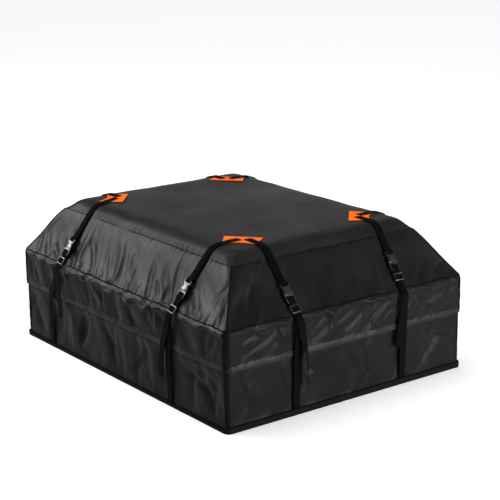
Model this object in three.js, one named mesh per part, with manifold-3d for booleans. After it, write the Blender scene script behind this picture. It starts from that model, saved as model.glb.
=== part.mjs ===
// Soft roof cargo bag, closed and packed full: a boxy wall, a pitched lid, eight webbing straps
// with side-release buckles, and a zip behind a storm flap.
// Millimetres, +Z up. The long side of the bag runs along X and the bag rests on z = 0.

import * as THREE from 'three';
import { mergeVertices } from 'three/addons/utils/BufferGeometryUtils.js';
import Module from 'manifold-3d';

const wasm = await Module();
wasm.setup();

// Overall sizes of the packed bag
const bagLength = 1118;
const bagWidth = 886;
const wallHeight = 297.3;
const lidRise = 172.7;
const lidCrown = 8;
const lidInsetLongSides = 122;
const lidInsetShortSides = 132;
const wallCornerRadius = 14;
const lidCornerRadius = 32;
const lidEdgeRun = 24;
const lidSeamDrop = 33;

// Cloth
const clothThickness = 2;
const clearance = 0.3;
const seamGap = 0.3;
const wallFoldDepth = 4;
const wallFoldPitch = 190;
const gatherDepth = 6;
const gatherPitch = 84;

// Base and its binding
const bindingProud = 9.4;
const bindingHeight = 19;
const bindingFoot = 12;
const strapPocket = 2.4;

// Zip and storm flap. Heights are measured down from the top of the wall.
const flapDrop = 117;
const flapStandoff = 0.4;
const hemThickness = 3;
const zipDrop = 31.6;
const zipRecess = 8;
const tapeWidth = 11;
const tapeThickness = 1.5;
const teethWidth = 2.3;
const teethThickness = 3;
const teethGap = 1.8;
const zipEndMargin = 20;
const zipSliderLength = 14;
const zipSliderHeight = 15;
const zipPlateThickness = 1.2;
const pullerLength = 34;
const pullerWidth = 7;
const pullerThickness = 1.5;
const pullerPinRadius = 1.6;

// Webbing
const webbingWidth = 25;
const webbingThickness = 1.4;
const strapHeight = 2.4;
const strapOverhang = 18.3;
const sewnLength = 26;
const tipInLongSides = 95;
const tipInShortSides = 82;

// Orange corner patches
const patchThickness = 1;
const patchLift = 0.4;

// Side-release buckle and strap slide, for the webbing above
const buckleWidth = 33;
const buckleBottom = 1.2;
const buckleTop = 9.6;
const socketLength = 35;
const socketBar = 4;
const webbingSlot = 6.3;
const waistWidth = 21;
const buckleWall = 1.9;
const prongReach = 21;
const prongThickness = 3.8;
const prongLength = 60;
const prongBar = 3.8;
const slideWidth = 32;
const slideLength = 24;
const slideTop = 7.6;
const railWidth = 2.6;

// Where each strap lies. Its places at the sewn tip, the lid edge, the buckle and the base
// are measured along its side from the corner that it is nearer to: hand 1 is the corner at
// the end of the side's own X, -1 the one at its start. buckleUp is how far the buckle's
// upper end lies up the slope from the wall, slideGap what lies between buckle and slide.
// tailEnd is the height of the loose end, tailDrift how far it hangs to the side.
const straps = [
  { name: 'front_right', side: 0, hand: 1, tip: 228, edge: 225, buckle: 243, base: 277,
    buckleUp: 96, slideGap: 24, tailEnd: 85, tailDrift: -56 },
  { name: 'front_left', side: 0, hand: -1, tip: 228, edge: 254, buckle: 241, base: 163,
    buckleUp: 85, slideGap: 7, tailEnd: 118, tailDrift: 4 },
  { name: 'right_front', side: 1, hand: -1, tip: 235, edge: 234, buckle: 242, base: 242,
    buckleUp: 95, slideGap: 7, tailEnd: 85, tailDrift: 30 },
  { name: 'right_rear', side: 1, hand: 1, tip: 235, edge: 231, buckle: 238, base: 240,
    buckleUp: 118, slideGap: 9, tailEnd: 124, tailDrift: -29 },
  { name: 'rear_right', side: 2, hand: -1, tip: 228, edge: 229, buckle: 241, base: 259,
    buckleUp: 92, slideGap: 10, tailEnd: 96, tailDrift: 38 },
  { name: 'rear_left', side: 2, hand: 1, tip: 228, edge: 229, buckle: 241, base: 259,
    buckleUp: 98, slideGap: 12, tailEnd: 108, tailDrift: -34 },
  { name: 'left_rear', side: 3, hand: -1, tip: 235, edge: 233, buckle: 239, base: 241,
    buckleUp: 97, slideGap: 8, tailEnd: 92, tailDrift: 32 },
  { name: 'left_front', side: 3, hand: 1, tip: 235, edge: 233, buckle: 239, base: 237,
    buckleUp: 104, slideGap: 9, tailEnd: 112, tailDrift: -30 },
];

const sideNames = ['front', 'right', 'rear', 'left'];
const lidHeight = wallHeight + lidRise;
const straightShare = 0.88;

// Colours
const blackCloth = { color: 0x2b2b2c, roughness: 0.55 };
const topCloth = { color: 0x333435, roughness: 0.5 };
const blackWebbing = { color: 0x0e0e10, roughness: 0.85 };
const blackTape = { color: 0x141415, roughness: 0.8 };
const orangeCloth = { color: 0xff6a1a, roughness: 0.6 };
const blackNylon = { color: 0x1a1a1c, roughness: 0.3 };
const zincAlloy = { color: 0x3a3a3d, roughness: 0.35, metalness: 0.9 };

const bag = new THREE.Group();

function addPiece(name, geometry, look, parent = bag) {
  const mesh = new THREE.Mesh(geometry, new THREE.MeshStandardMaterial(look));
  mesh.name = name;
  parent.add(mesh);
  return mesh;
}

function sideGroup(side) {
  const group = new THREE.Group();
  group.rotation.z = (side * Math.PI) / 2;
  bag.add(group);
  return group;
}

// A side as it is seen in its own frame: it runs along X and faces -Y.
function sideSizes(side) {
  const isLong = side % 2 === 0;
  return {
    halfLength: (isLong ? bagLength : bagWidth) / 2,
    halfDepth: (isLong ? bagWidth : bagLength) / 2,
    inset: isLong ? lidInsetLongSides : lidInsetShortSides,
    endInset: isLong ? lidInsetShortSides : lidInsetLongSides,
  };
}

// Point and outward direction on a rounded rectangle, in one side's frame. place runs from
// -1 to 1, from the middle of one corner to the middle of the next.
function outlinePoint(halfLength, halfDepth, radius, place) {
  const reach = Math.abs(place);
  const sign = Math.sign(place);
  const straight = halfLength - radius;
  if (reach <= straightShare) {
    return { x: (sign * straight * reach) / straightShare, y: -halfDepth, nx: 0, ny: -1 };
  }
  const turn = ((reach - straightShare) / (1 - straightShare)) * (Math.PI / 4);
  const nx = sign * Math.sin(turn);
  const ny = -Math.cos(turn);
  return { x: sign * straight + radius * nx, y: -(halfDepth - radius) + radius * ny, nx, ny };
}

function wallPoint(side, place, offset) {
  const { halfLength, halfDepth } = sideSizes(side);
  return outlinePoint(halfLength + offset, halfDepth + offset, wallCornerRadius + offset, place);
}

// Places along a side: a given number of straight stretches, and three in each half corner
function sidePlaces(straightSteps, trim = 0) {
  const corner = [1 - trim, 0.96, 0.92];
  const places = corner.map((place) => -place);
  for (let i = 0; i <= straightSteps; i += 1) {
    places.push(straightShare * ((2 * i) / straightSteps - 1));
  }
  return places.concat([...corner].reverse());
}

// How much shorter each end of a panel is, as a share of its side, to leave the seam's gap
const seamTrim = ((seamGap / wallCornerRadius) * (1 - straightShare)) / (Math.PI / 4);

function cleaned(geometry) {
  geometry.deleteAttribute('normal');
  geometry.deleteAttribute('uv');
  const merged = mergeVertices(geometry, 1e-4);
  merged.computeVertexNormals();
  return merged;
}

// A sheet of cloth: its outer face follows surface(u, v), its inner face lies behind it.
function clothPanel(uPlaces, vPlaces, surface, thickness = clothThickness) {
  const columns = uPlaces.length - 1;
  const rows = vPlaces.length - 1;
  const geometry = new THREE.BoxGeometry(1, 1, 1, columns, rows, 1);
  const corner = geometry.attributes.position;
  for (let i = 0; i < corner.count; i += 1) {
    const u = uPlaces[Math.round((corner.getX(i) + 0.5) * columns)];
    const v = vPlaces[Math.round((corner.getY(i) + 0.5) * rows)];
    const { point, normal } = surface(u, v);
    if (corner.getZ(i) < 0) point.addScaledVector(normal, -thickness);
    corner.setXYZ(i, point.x, point.y, point.z);
  }
  return cleaned(geometry);
}

// A closed band round the whole bag. The profile's points are [offset from the wall, height].
const ringShift = 100;
function bandAround(profile, straightSteps) {
  const stations = [];
  for (let side = 0; side < 4; side += 1) {
    sidePlaces(straightSteps).slice(0, -1).forEach((place) => stations.push({ side, place }));
  }
  const closed = [...profile, profile[0]].map(([offset, height]) => {
    return new THREE.Vector2(offset + ringShift, height);
  });
  const geometry = new THREE.LatheGeometry(closed, stations.length);
  const corner = geometry.attributes.position;
  const upAxis = new THREE.Vector3(0, 0, 1);
  for (let i = 0; i < corner.count; i += 1) {
    const around = Math.atan2(corner.getX(i), corner.getZ(i)) / (2 * Math.PI);
    const index = Math.round(around * stations.length + stations.length) % stations.length;
    const offset = Math.hypot(corner.getX(i), corner.getZ(i)) - ringShift;
    const { side, place } = stations[index];
    const at = wallPoint(side, place, offset);
    const point = new THREE.Vector3(at.x, at.y, corner.getY(i));
    point.applyAxisAngle(upAxis, (side * Math.PI) / 2);
    corner.setXYZ(i, point.x, point.y, point.z);
  }
  return cleaned(geometry);
}

// A strip along three sides, from the rear end of the right side round to that of the left
function stripAlongZip(profile) {
  const upAxis = new THREE.Vector3(0, 0, 1);
  const stations = [];
  [1, 0, 3].forEach((side) => {
    const { halfLength } = sideSizes(side);
    const zipEnd = straightShare * (1 - zipEndMargin / (halfLength - wallCornerRadius));
    sidePlaces(1).reverse().forEach((place) => {
      const cornerIsShared = side !== 1 && place === 1;
      if (cornerIsShared) return;
      if (side === 1 && place > zipEnd) return;
      if (side === 3 && place < -zipEnd) return;
      stations.push({ side, place });
    });
    if (side === 1) stations.unshift({ side, place: zipEnd });
    if (side === 3) stations.push({ side, place: -zipEnd });
  });
  const shape = new THREE.Shape(profile.map(([offset, height]) => new THREE.Vector2(offset, height)));
  const steps = stations.length - 1;
  const geometry = new THREE.ExtrudeGeometry(shape, { depth: 1, steps, bevelEnabled: false });
  const corner = geometry.attributes.position;
  for (let i = 0; i < corner.count; i += 1) {
    const { side, place } = stations[Math.round(corner.getZ(i) * steps)];
    const at = wallPoint(side, place, corner.getX(i));
    const point = new THREE.Vector3(at.x, at.y, corner.getY(i));
    point.applyAxisAngle(upAxis, (side * Math.PI) / 2);
    corner.setXYZ(i, point.x, point.y, point.z);
  }
  return cleaned(geometry);
}

// Webbing along a path in a side's frame. Each stop of the path is a point and the
// direction in which the width of the webbing lies there.
function webbing(path) {
  const steps = path.length - 1;
  const geometry = new THREE.BoxGeometry(1, 1, 1, 1, 1, steps);
  const corner = geometry.attributes.position;
  for (let i = 0; i < corner.count; i += 1) {
    const index = Math.round((corner.getZ(i) + 0.5) * steps);
    const before = path[Math.max(index - 1, 0)].point;
    const after = path[Math.min(index + 1, steps)].point;
    const { point, across } = path[index];
    const tangent = new THREE.Vector3().subVectors(after, before);
    const normal = new THREE.Vector3().crossVectors(tangent, across).normalize();
    const place = point.clone();
    place.addScaledVector(across, corner.getX(i) * webbingWidth);
    place.addScaledVector(normal, corner.getY(i) * webbingThickness);
    corner.setXYZ(i, place.x, place.y, place.z);
  }
  return cleaned(geometry);
}

function toSolid(geometry) {
  const merged = cleaned(geometry);
  const vertProperties = new Float32Array(merged.attributes.position.array);
  const triVerts = new Uint32Array(merged.index.array);
  return new wasm.Manifold(new wasm.Mesh({ numProp: 3, vertProperties, triVerts }));
}

function toGeometry(solid) {
  const mesh = solid.getMesh();
  const geometry = new THREE.BufferGeometry();
  geometry.setAttribute('position', new THREE.BufferAttribute(new Float32Array(mesh.vertProperties), 3));
  geometry.setIndex(new THREE.BufferAttribute(new Uint32Array(mesh.triVerts), 1));
  geometry.computeVertexNormals();
  return geometry;
}

// A block between two corners
function block(low, high) {
  const size = high.map((value, axis) => value - low[axis]);
  const geometry = new THREE.BoxGeometry(...size);
  geometry.translate(...low.map((value, axis) => value + size[axis] / 2));
  return toSolid(geometry);
}

// A plate with a half outline given for x >= 0 and mirrored, between two heights
function mirroredPlate(half, low, high) {
  const right = half.map(([x, y]) => new THREE.Vector2(x, y));
  const left = [...half].reverse().map(([x, y]) => new THREE.Vector2(-x, y));
  const shape = new THREE.Shape([...right, ...left]);
  const geometry = new THREE.ExtrudeGeometry(shape, { depth: high - low, bevelEnabled: false });
  geometry.translate(0, 0, low);
  return toSolid(geometry);
}

// Lid: where the slope of a side lies. climb runs from 0 at the wall to 1 at the lid edge.
function lidOutline(side, place, climb) {
  const { halfLength, halfDepth, inset, endInset } = sideSizes(side);
  const radius = wallCornerRadius + (lidCornerRadius - wallCornerRadius) * climb;
  return outlinePoint(halfLength - endInset * climb, halfDepth - inset * climb, radius, place);
}

function slopeOf(side) {
  const { inset, halfDepth } = sideSizes(side);
  const length = Math.hypot(inset, lidRise);
  const down = new THREE.Vector3(0, -inset / length, -lidRise / length);
  const out = new THREE.Vector3(0, -lidRise / length, inset / length);
  const edge = new THREE.Vector3(0, -(halfDepth - inset), lidHeight);
  return { length, down, out, edge, angle: Math.atan2(lidRise, inset) };
}

const seamClimb = (lidRise - lidSeamDrop) / lidRise;

// Height of the lid's top face above a place, with its crown
function topHeight(x, y) {
  const acrossX = Math.min(1, Math.abs(x) / (bagLength / 2 - lidInsetShortSides));
  const acrossY = Math.min(1, Math.abs(y) / (bagWidth / 2 - lidInsetLongSides));
  return lidHeight + lidCrown * (1 - acrossX ** 2) * (1 - acrossY ** 2);
}

// Folds pull the cloth in from its tight outer form, and die away at the corners.
function cornerFade(place) {
  return 1 - Math.abs(place) ** 6;
}

function gatherAt(x, climb, place) {
  const wave = 0.5 + 0.5 * Math.cos((2 * Math.PI * x) / gatherPitch + 1.4 * Math.sin(x / 131));
  const swell = Math.sin(Math.PI * (1 - climb / seamClimb) ** 1.5);
  return gatherDepth * wave * Math.max(0, swell) * cornerFade(place);
}

function wallFoldAt(x, share, place) {
  const lean = 0.9 * share;
  const wave = 0.5 + 0.5 * Math.cos((2 * Math.PI * x) / wallFoldPitch + 4 * lean + Math.sin(x / 77));
  return wallFoldDepth * wave * Math.sin(Math.PI * share) * cornerFade(place);
}

// Base sheet, lying inside the foot of its binding
function makeBase() {
  const inset = bindingFoot + clearance;
  const outline = [];
  for (let side = 0; side < 4; side += 1) {
    sidePlaces(1).slice(0, -1).forEach((place) => {
      const at = wallPoint(side, place, -inset);
      const turned = new THREE.Vector2(at.x, at.y).rotateAround(new THREE.Vector2(), (side * Math.PI) / 2);
      outline.push(turned);
    });
  }
  const options = { depth: clothThickness, bevelEnabled: false };
  addPiece('base_panel', cleaned(new THREE.ExtrudeGeometry(new THREE.Shape(outline), options)), blackCloth);
  const binding = [
    [bindingProud, 0],
    [bindingProud, bindingHeight],
    [strapPocket, bindingHeight],
    [strapPocket, clothThickness],
    [-bindingFoot, clothThickness],
    [-bindingFoot, 0],
  ];
  addPiece('base_binding', bandAround(binding, 1), blackTape);
}

const wallFoot = clothThickness + clearance;
const hemHeight = wallHeight - flapDrop;
const zipLine = wallHeight - zipDrop;
const lowerTapeFoot = zipLine - teethGap / 2 - tapeWidth;
const wallTopAtZip = lowerTapeFoot - clearance;
const flapTop = wallHeight - 1.3;
const flapTopOffset = -0.3;
const lidSeamOffset = flapTopOffset - clothThickness - 0.5;

// The wall leans in behind the flap to make room for the zip.
function wallRecess(side, height) {
  const start = hemHeight - 15;
  const full = lowerTapeFoot - 24;
  const share = THREE.MathUtils.smoothstep(height, start, full);
  if (side !== 2) return zipRecess * share;
  const back = THREE.MathUtils.smoothstep(height, full, flapTop - 8);
  return THREE.MathUtils.lerp(zipRecess * share, -lidSeamOffset, back);
}

function makeWall(side) {
  const isLong = side % 2 === 0;
  const top = side === 2 ? flapTop - 1 : wallTopAtZip;
  const leanStart = hemHeight - 15;
  const rows = [wallFoot, bindingHeight + 4];
  rows.push(THREE.MathUtils.lerp(bindingHeight, leanStart, 0.35), THREE.MathUtils.lerp(bindingHeight, leanStart, 0.7));
  rows.push(leanStart, THREE.MathUtils.lerp(leanStart, lowerTapeFoot - 24, 0.5), lowerTapeFoot - 24, top);
  const surface = (place, height) => {
    const flat = wallPoint(side, place, 0);
    const share = THREE.MathUtils.clamp((height - bindingHeight) / (leanStart - bindingHeight), 0, 1);
    const offset = -wallRecess(side, height) - wallFoldAt(flat.x, share, place);
    const at = wallPoint(side, place, offset);
    return { point: new THREE.Vector3(at.x, at.y, height), normal: new THREE.Vector3(at.nx, at.ny, 0) };
  };
  const panel = clothPanel(sidePlaces(isLong ? 12 : 9, seamTrim), rows, surface);
  addPiece(`wall_${sideNames[side]}`, panel, blackCloth, sideGroup(side));
}

function makeSlope(side) {
  const isLong = side % 2 === 0;
  const { angle, length } = slopeOf(side);
  const firstClimb = clearance / length;
  const climbs = [firstClimb, 0.09, 0.25, 0.45, 0.65, seamClimb - clearance / length];
  const surface = (place, climb) => {
    const at = lidOutline(side, place, climb);
    const normal = new THREE.Vector3(at.nx * Math.sin(angle), at.ny * Math.sin(angle), Math.cos(angle));
    const point = new THREE.Vector3(at.x, at.y, wallHeight + lidRise * climb);
    point.addScaledVector(normal, -gatherAt(at.x, climb, place));
    return { point, normal };
  };
  const panel = clothPanel(sidePlaces(isLong ? 32 : 18, seamTrim), climbs, surface);
  addPiece(`lid_slope_${sideNames[side]}`, panel, blackCloth, sideGroup(side));
}

// Top of the lid, rounded over its edge down to the seam on the slopes. Its rings run from
// the middle (0) to the seam (1).
function makeLidTop() {
  const ringLevels = [0, 0.35, 0.7, straightShare, 0.92, 0.96, 1];
  const levels = [...ringLevels.slice(1).map((level) => -level).reverse(), ...ringLevels];
  const surface = (a, b) => {
    const level = Math.max(Math.abs(a), Math.abs(b));
    const alongLongSide = Math.abs(b) >= Math.abs(a);
    let side = b < 0 ? 0 : 2;
    if (!alongLongSide) side = a > 0 ? 1 : 3;
    const lateral = [a, b, -a, -b][side];
    const place = level === 0 ? 0 : lateral / level;
    const { halfLength, halfDepth, inset, endInset } = sideSizes(side);
    const { angle } = slopeOf(side);
    const bendRadius = lidEdgeRun / Math.tan(angle / 2);
    let at;
    let height;
    let tilt = 0;
    if (level === 1) {
      at = lidOutline(side, place, seamClimb);
      height = lidHeight - lidSeamDrop;
      tilt = angle;
    } else {
      const bend = THREE.MathUtils.clamp((level - straightShare) / (0.96 - straightShare), 0, 1);
      tilt = angle * bend;
      const run = lidEdgeRun - bendRadius * Math.sin(tilt);
      const share = Math.min(1, level / straightShare);
      const farLength = halfLength - endInset - run;
      const farDepth = halfDepth - inset - run;
      at = outlinePoint(farLength * share, farDepth * share, lidCornerRadius * share, place);
      height = lidHeight - bendRadius * (1 - Math.cos(tilt));
    }
    const point = new THREE.Vector3(at.x, at.y, height);
    const normal = new THREE.Vector3(at.nx * Math.sin(tilt), at.ny * Math.sin(tilt), Math.cos(tilt));
    const upAxis = new THREE.Vector3(0, 0, 1);
    point.applyAxisAngle(upAxis, (side * Math.PI) / 2);
    normal.applyAxisAngle(upAxis, (side * Math.PI) / 2);
    if (level <= straightShare) point.z = topHeight(point.x, point.y);
    return { point, normal };
  };
  addPiece('lid_top', clothPanel(levels, levels, surface), topCloth);
}

// Storm flap: a strip sewn in at the lid seam that hangs over the zip, with a thicker hem
function makeStormFlap() {
  const inner = flapStandoff;
  const outer = inner + clothThickness;
  const foldTop = hemHeight + 14;
  const profile = [
    [inner, hemHeight],
    [inner + hemThickness, hemHeight],
    [inner + hemThickness, foldTop],
    [outer, foldTop + 3],
    [outer - 0.3, wallHeight - 45],
    [outer - 1, wallHeight - 14],
    [flapTopOffset, flapTop],
    [flapTopOffset - clothThickness, flapTop],
    [outer - 1 - clothThickness, wallHeight - 14],
    [outer - 0.3 - clothThickness, wallHeight - 45],
  ];
  addPiece('storm_flap', bandAround(profile, 8), blackCloth);
}

// Zip: two tapes with their rows of teeth, a slider between them and its puller
function makeZip() {
  const tapeOut = -zipRecess;
  const tapeIn = tapeOut - tapeThickness;
  const teethOut = tapeOut + (teethThickness - tapeThickness) / 2;
  const teethIn = teethOut - teethThickness;
  const below = zipLine - teethGap / 2;
  const above = zipLine + teethGap / 2;
  const lower = [
    [tapeIn, lowerTapeFoot],
    [tapeOut, lowerTapeFoot],
    [tapeOut, below - teethWidth],
    [teethOut, below - teethWidth],
    [teethOut, below],
    [teethIn, below],
    [teethIn, below - teethWidth],
    [tapeIn, below - teethWidth],
  ];
  const seamOut = lidSeamOffset;
  const upper = [
    [teethIn, above],
    [teethOut, above],
    [teethOut, above + teethWidth],
    [tapeOut, above + teethWidth],
    [tapeOut, above + tapeWidth],
    [seamOut, flapTop - 1],
    [seamOut - tapeThickness, flapTop - 1],
    [tapeIn, above + tapeWidth],
    [tapeIn, above + teethWidth],
    [teethIn, above + teethWidth],
  ];
  addPiece('zip_tape_lower', stripAlongZip(lower), blackTape);
  addPiece('zip_tape_upper', stripAlongZip(upper), blackTape);

  // The slider stands at the closed end of the zip, on the right side. In its own frame X
  // runs along the zip, Y up and Z out of the bag, and z = 0 is the middle of the teeth.
  const plateLow = teethThickness / 2 + clearance;
  const plateHigh = plateLow + zipPlateThickness;
  const half = zipSliderLength / 2;
  const tall = zipSliderHeight / 2;
  const web = (teethGap - 2 * clearance) / 2;
  const pinTop = plateHigh + pullerThickness + 2 * clearance;
  const pin = new THREE.CylinderGeometry(pullerPinRadius, pullerPinRadius, pinTop, 12);
  pin.rotateX(Math.PI / 2);
  pin.translate(0, 0, pinTop / 2);
  const pinHead = new THREE.CylinderGeometry(pullerPinRadius + 1.2, pullerPinRadius + 1.2, 1, 12);
  pinHead.rotateX(Math.PI / 2);
  pinHead.translate(0, 0, pinTop + 0.5);
  const slider = block([-half, -tall, plateLow], [half, tall, plateHigh])
    .add(block([-half, -tall, -plateHigh], [half, tall, -plateLow]))
    .add(block([-half, -web, -plateHigh], [half, web, plateHigh]))
    .add(toSolid(pin).intersect(block([-half, -half, plateLow], [half, half, pinTop + 1])))
    .add(toSolid(pinHead));
  const { halfLength, halfDepth } = sideSizes(1);
  const zipEndPlace = (halfLength - wallCornerRadius) * (1 - zipEndMargin / (halfLength - wallCornerRadius));
  const middle = tapeOut - tapeThickness / 2;
  const holder = sideGroup(1);
  const seat = new THREE.Group();
  seat.position.set(zipEndPlace - half - 4, -(halfDepth + middle), zipLine);
  seat.rotation.x = Math.PI / 2;
  holder.add(seat);
  addPiece('zip_slider', toGeometry(slider), zincAlloy, seat);

  const eye = pullerPinRadius + clearance;
  const pull = new THREE.Shape();
  pull.absarc(0, 0, pullerWidth / 2, 0, Math.PI, false);
  pull.lineTo(-pullerWidth / 2, -pullerLength);
  pull.lineTo(pullerWidth / 2, -pullerLength);
  pull.closePath();
  const hole = new THREE.Path();
  hole.absarc(0, 0, eye, 0, 2 * Math.PI, true);
  pull.holes.push(hole);
  const options = { depth: pullerThickness, bevelEnabled: false, curveSegments: 8 };
  const puller = cleaned(new THREE.ExtrudeGeometry(pull, options));
  const pullerMesh = addPiece('zip_puller', puller, zincAlloy, seat);
  pullerMesh.position.z = plateHigh + clearance;
}

// Orange patch on each corner of the lid top, under the sewn ends of two straps. Its outline
// is a band with a hollow outer edge; places are distances in from the lid's own corner.
function makeCornerPatches() {
  const innerEdge = [[156, 82], [64, 163]];
  const outerEdge = [[89, 27], [26, 97]];
  const hollow = 16;
  const cornerX = bagLength / 2 - lidInsetShortSides;
  const cornerY = bagWidth / 2 - lidInsetLongSides;
  const across = [0, 0.25, 0.5, 0.75, 1];
  const outward = [0, 0.34, 0.67, 1];
  [
    ['front_right', 1, -1],
    ['rear_right', 1, 1],
    ['rear_left', -1, 1],
    ['front_left', -1, -1],
  ].forEach(([name, signX, signY]) => {
    const surface = (p, q) => {
      const flip = signX * signY > 0;
      const along = flip ? p : 1 - p;
      const inX = THREE.MathUtils.lerp(innerEdge[0][0], innerEdge[1][0], along);
      const inY = THREE.MathUtils.lerp(innerEdge[0][1], innerEdge[1][1], along);
      const outX = THREE.MathUtils.lerp(outerEdge[0][0], outerEdge[1][0], along);
      const outY = THREE.MathUtils.lerp(outerEdge[0][1], outerEdge[1][1], along);
      const pull = q * hollow * (1 - (2 * along - 1) ** 2);
      const inFromX = THREE.MathUtils.lerp(inX, outX, q) + pull * 0.75;
      const inFromY = THREE.MathUtils.lerp(inY, outY, q) + pull * 0.66;
      const x = signX * (cornerX - inFromX);
      const y = signY * (cornerY - inFromY);
      const height = topHeight(x, y) + patchLift + patchThickness;
      return { point: new THREE.Vector3(x, y, height), normal: new THREE.Vector3(0, 0, 1) };
    };
    addPiece(`corner_patch_${name}`, clothPanel(across, outward, surface, patchThickness), orangeCloth);
  });
}

// Socket half of the buckle. Its own frame: Y down the slope from its upper end, Z out of
// the cloth, which lies at z = 0.
const buckleMiddle = (buckleBottom + buckleTop) / 2;
const halfSlot = webbingWidth / 2 + 0.7;
const cavityHalfWidth = buckleWidth / 2 - buckleWall - 1;
const barLow = strapHeight + webbingThickness / 2 + 0.5;
const barHigh = 2 * buckleMiddle - barLow;

function makeSocket() {
  const wide = buckleWidth / 2;
  const waist = waistWidth / 2;
  const webEnd = socketBar + webbingSlot + 3;
  const windowEnd = socketLength - 7;
  const outline = [
    [0, 0],
    [wide - 2.5, 0],
    [wide - 0.5, 2],
    [wide - 0.5, socketBar + webbingSlot],
    [waist + 1, webEnd + 2],
    [waist, webEnd + 6],
    [waist + 1, windowEnd - 4],
    [wide, windowEnd],
    [wide, socketLength],
    [0, socketLength],
  ];
  const slotEnd = socketBar + webbingSlot;
  return mirroredPlate(outline.slice(1, -1), buckleBottom, buckleTop)
    .subtract(block([-halfSlot, socketBar, 0], [halfSlot, slotEnd, buckleTop + 1]))
    .subtract(block([-halfSlot, -1, 0], [halfSlot, socketBar + 1, barLow]))
    .subtract(block([-halfSlot, -1, barHigh], [halfSlot, socketBar + 1, buckleTop + 1]))
    .subtract(
      block(
        [-cavityHalfWidth, webEnd, buckleBottom + buckleWall],
        [cavityHalfWidth, socketLength + 1, buckleTop - buckleWall],
      ),
    );
}

// Prong half: two sprung arms and a tongue that go into the socket, and two bars for webbing
const prongStart = socketLength + 0.4;
const slotStart = prongStart + 4.1;
const midBarStart = slotStart + 7.6;
const endBarStart = prongLength - 1 - prongBar;

function makeProng() {
  const wide = buckleWidth / 2 - 0.3;
  const low = buckleMiddle - prongThickness / 2 - 0.5;
  const high = buckleMiddle + prongThickness / 2 + 0.5;
  const tipY = socketLength - prongReach;
  const armOut = cavityHalfWidth - 0.4;
  const frame = mirroredPlate(
    [[wide - 1.5, prongStart], [wide, prongStart + 1.5], [wide, prongLength - 2], [wide - 2, prongLength]],
    low,
    high,
  );
  const endBarTop = barLow + 1.7;
  let prong = frame
    .subtract(block([-halfSlot, slotStart, 0], [halfSlot, endBarStart, buckleTop]))
    .subtract(block([-halfSlot, endBarStart - 1, 0], [halfSlot, prongLength + 1, barLow]))
    .subtract(block([-halfSlot, endBarStart - 1, endBarTop], [halfSlot, prongLength + 1, buckleTop]))
    .add(block([-halfSlot - 0.5, midBarStart, barLow], [halfSlot + 0.5, midBarStart + 2.8, barHigh - 0.2]));
  const arm = new THREE.Shape(
    [
      [armOut - 4, prongStart + 1],
      [armOut - 4.2, tipY + 3],
      [armOut - 3, tipY],
      [armOut - 1.2, tipY],
      [armOut, tipY + 4],
      [armOut, tipY + 9],
      [armOut - 1, tipY + 13],
      [armOut - 0.6, prongStart + 1],
    ].map(([x, y]) => new THREE.Vector2(x, y)),
  );
  [1, -1].forEach((sign) => {
    const geometry = new THREE.ExtrudeGeometry(arm, { depth: prongThickness, bevelEnabled: false });
    geometry.translate(0, 0, buckleMiddle - prongThickness / 2);
    if (sign < 0) geometry.rotateY(Math.PI).translate(0, 0, 2 * buckleMiddle);
    prong = prong.add(toSolid(geometry));
  });
  const tongue = block(
    [-3.2, tipY + 4, buckleMiddle - 1.2],
    [3.2, prongStart + 1, buckleMiddle + 1.2],
  );
  return prong.add(tongue);
}

// Strap slide: a frame that both layers of the lower strap run through in a straight line,
// over its middle bar and under its two end bars
const slideBarBottom = 5.7;
const slideLow = 0.6;
function makeSlide() {
  const half = slideWidth / 2;
  const inner = half - railWidth;
  const frame = mirroredPlate(
    [[half - 1.5, 0], [half, 1.5], [half, slideLength - 1.5], [half - 1.5, slideLength]],
    slideLow,
    slideTop,
  );
  return frame
    .subtract(block([-inner, 3.5, 0], [inner, slideLength - 3.5, slideTop + 1]))
    .subtract(block([-inner, -1, 0], [inner, 4, slideBarBottom]))
    .subtract(block([-inner, slideLength - 4, 0], [inner, slideLength + 1, slideBarBottom]))
    .add(block([-inner - 0.5, slideLength / 2 - 2, slideLow], [inner + 0.5, slideLength / 2 + 2, slideLow + 1]));
}

// Webbing that turns back round a bar: a half circle between two heights
function turnBack(along, low, high, direction = 1, steps = 4) {
  const radius = (high - low) / 2;
  const points = [];
  for (let i = 0; i <= steps; i += 1) {
    const turn = (Math.PI * i) / steps;
    points.push([along + direction * radius * Math.sin(turn), low + radius * (1 - Math.cos(turn))]);
  }
  return points;
}

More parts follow.
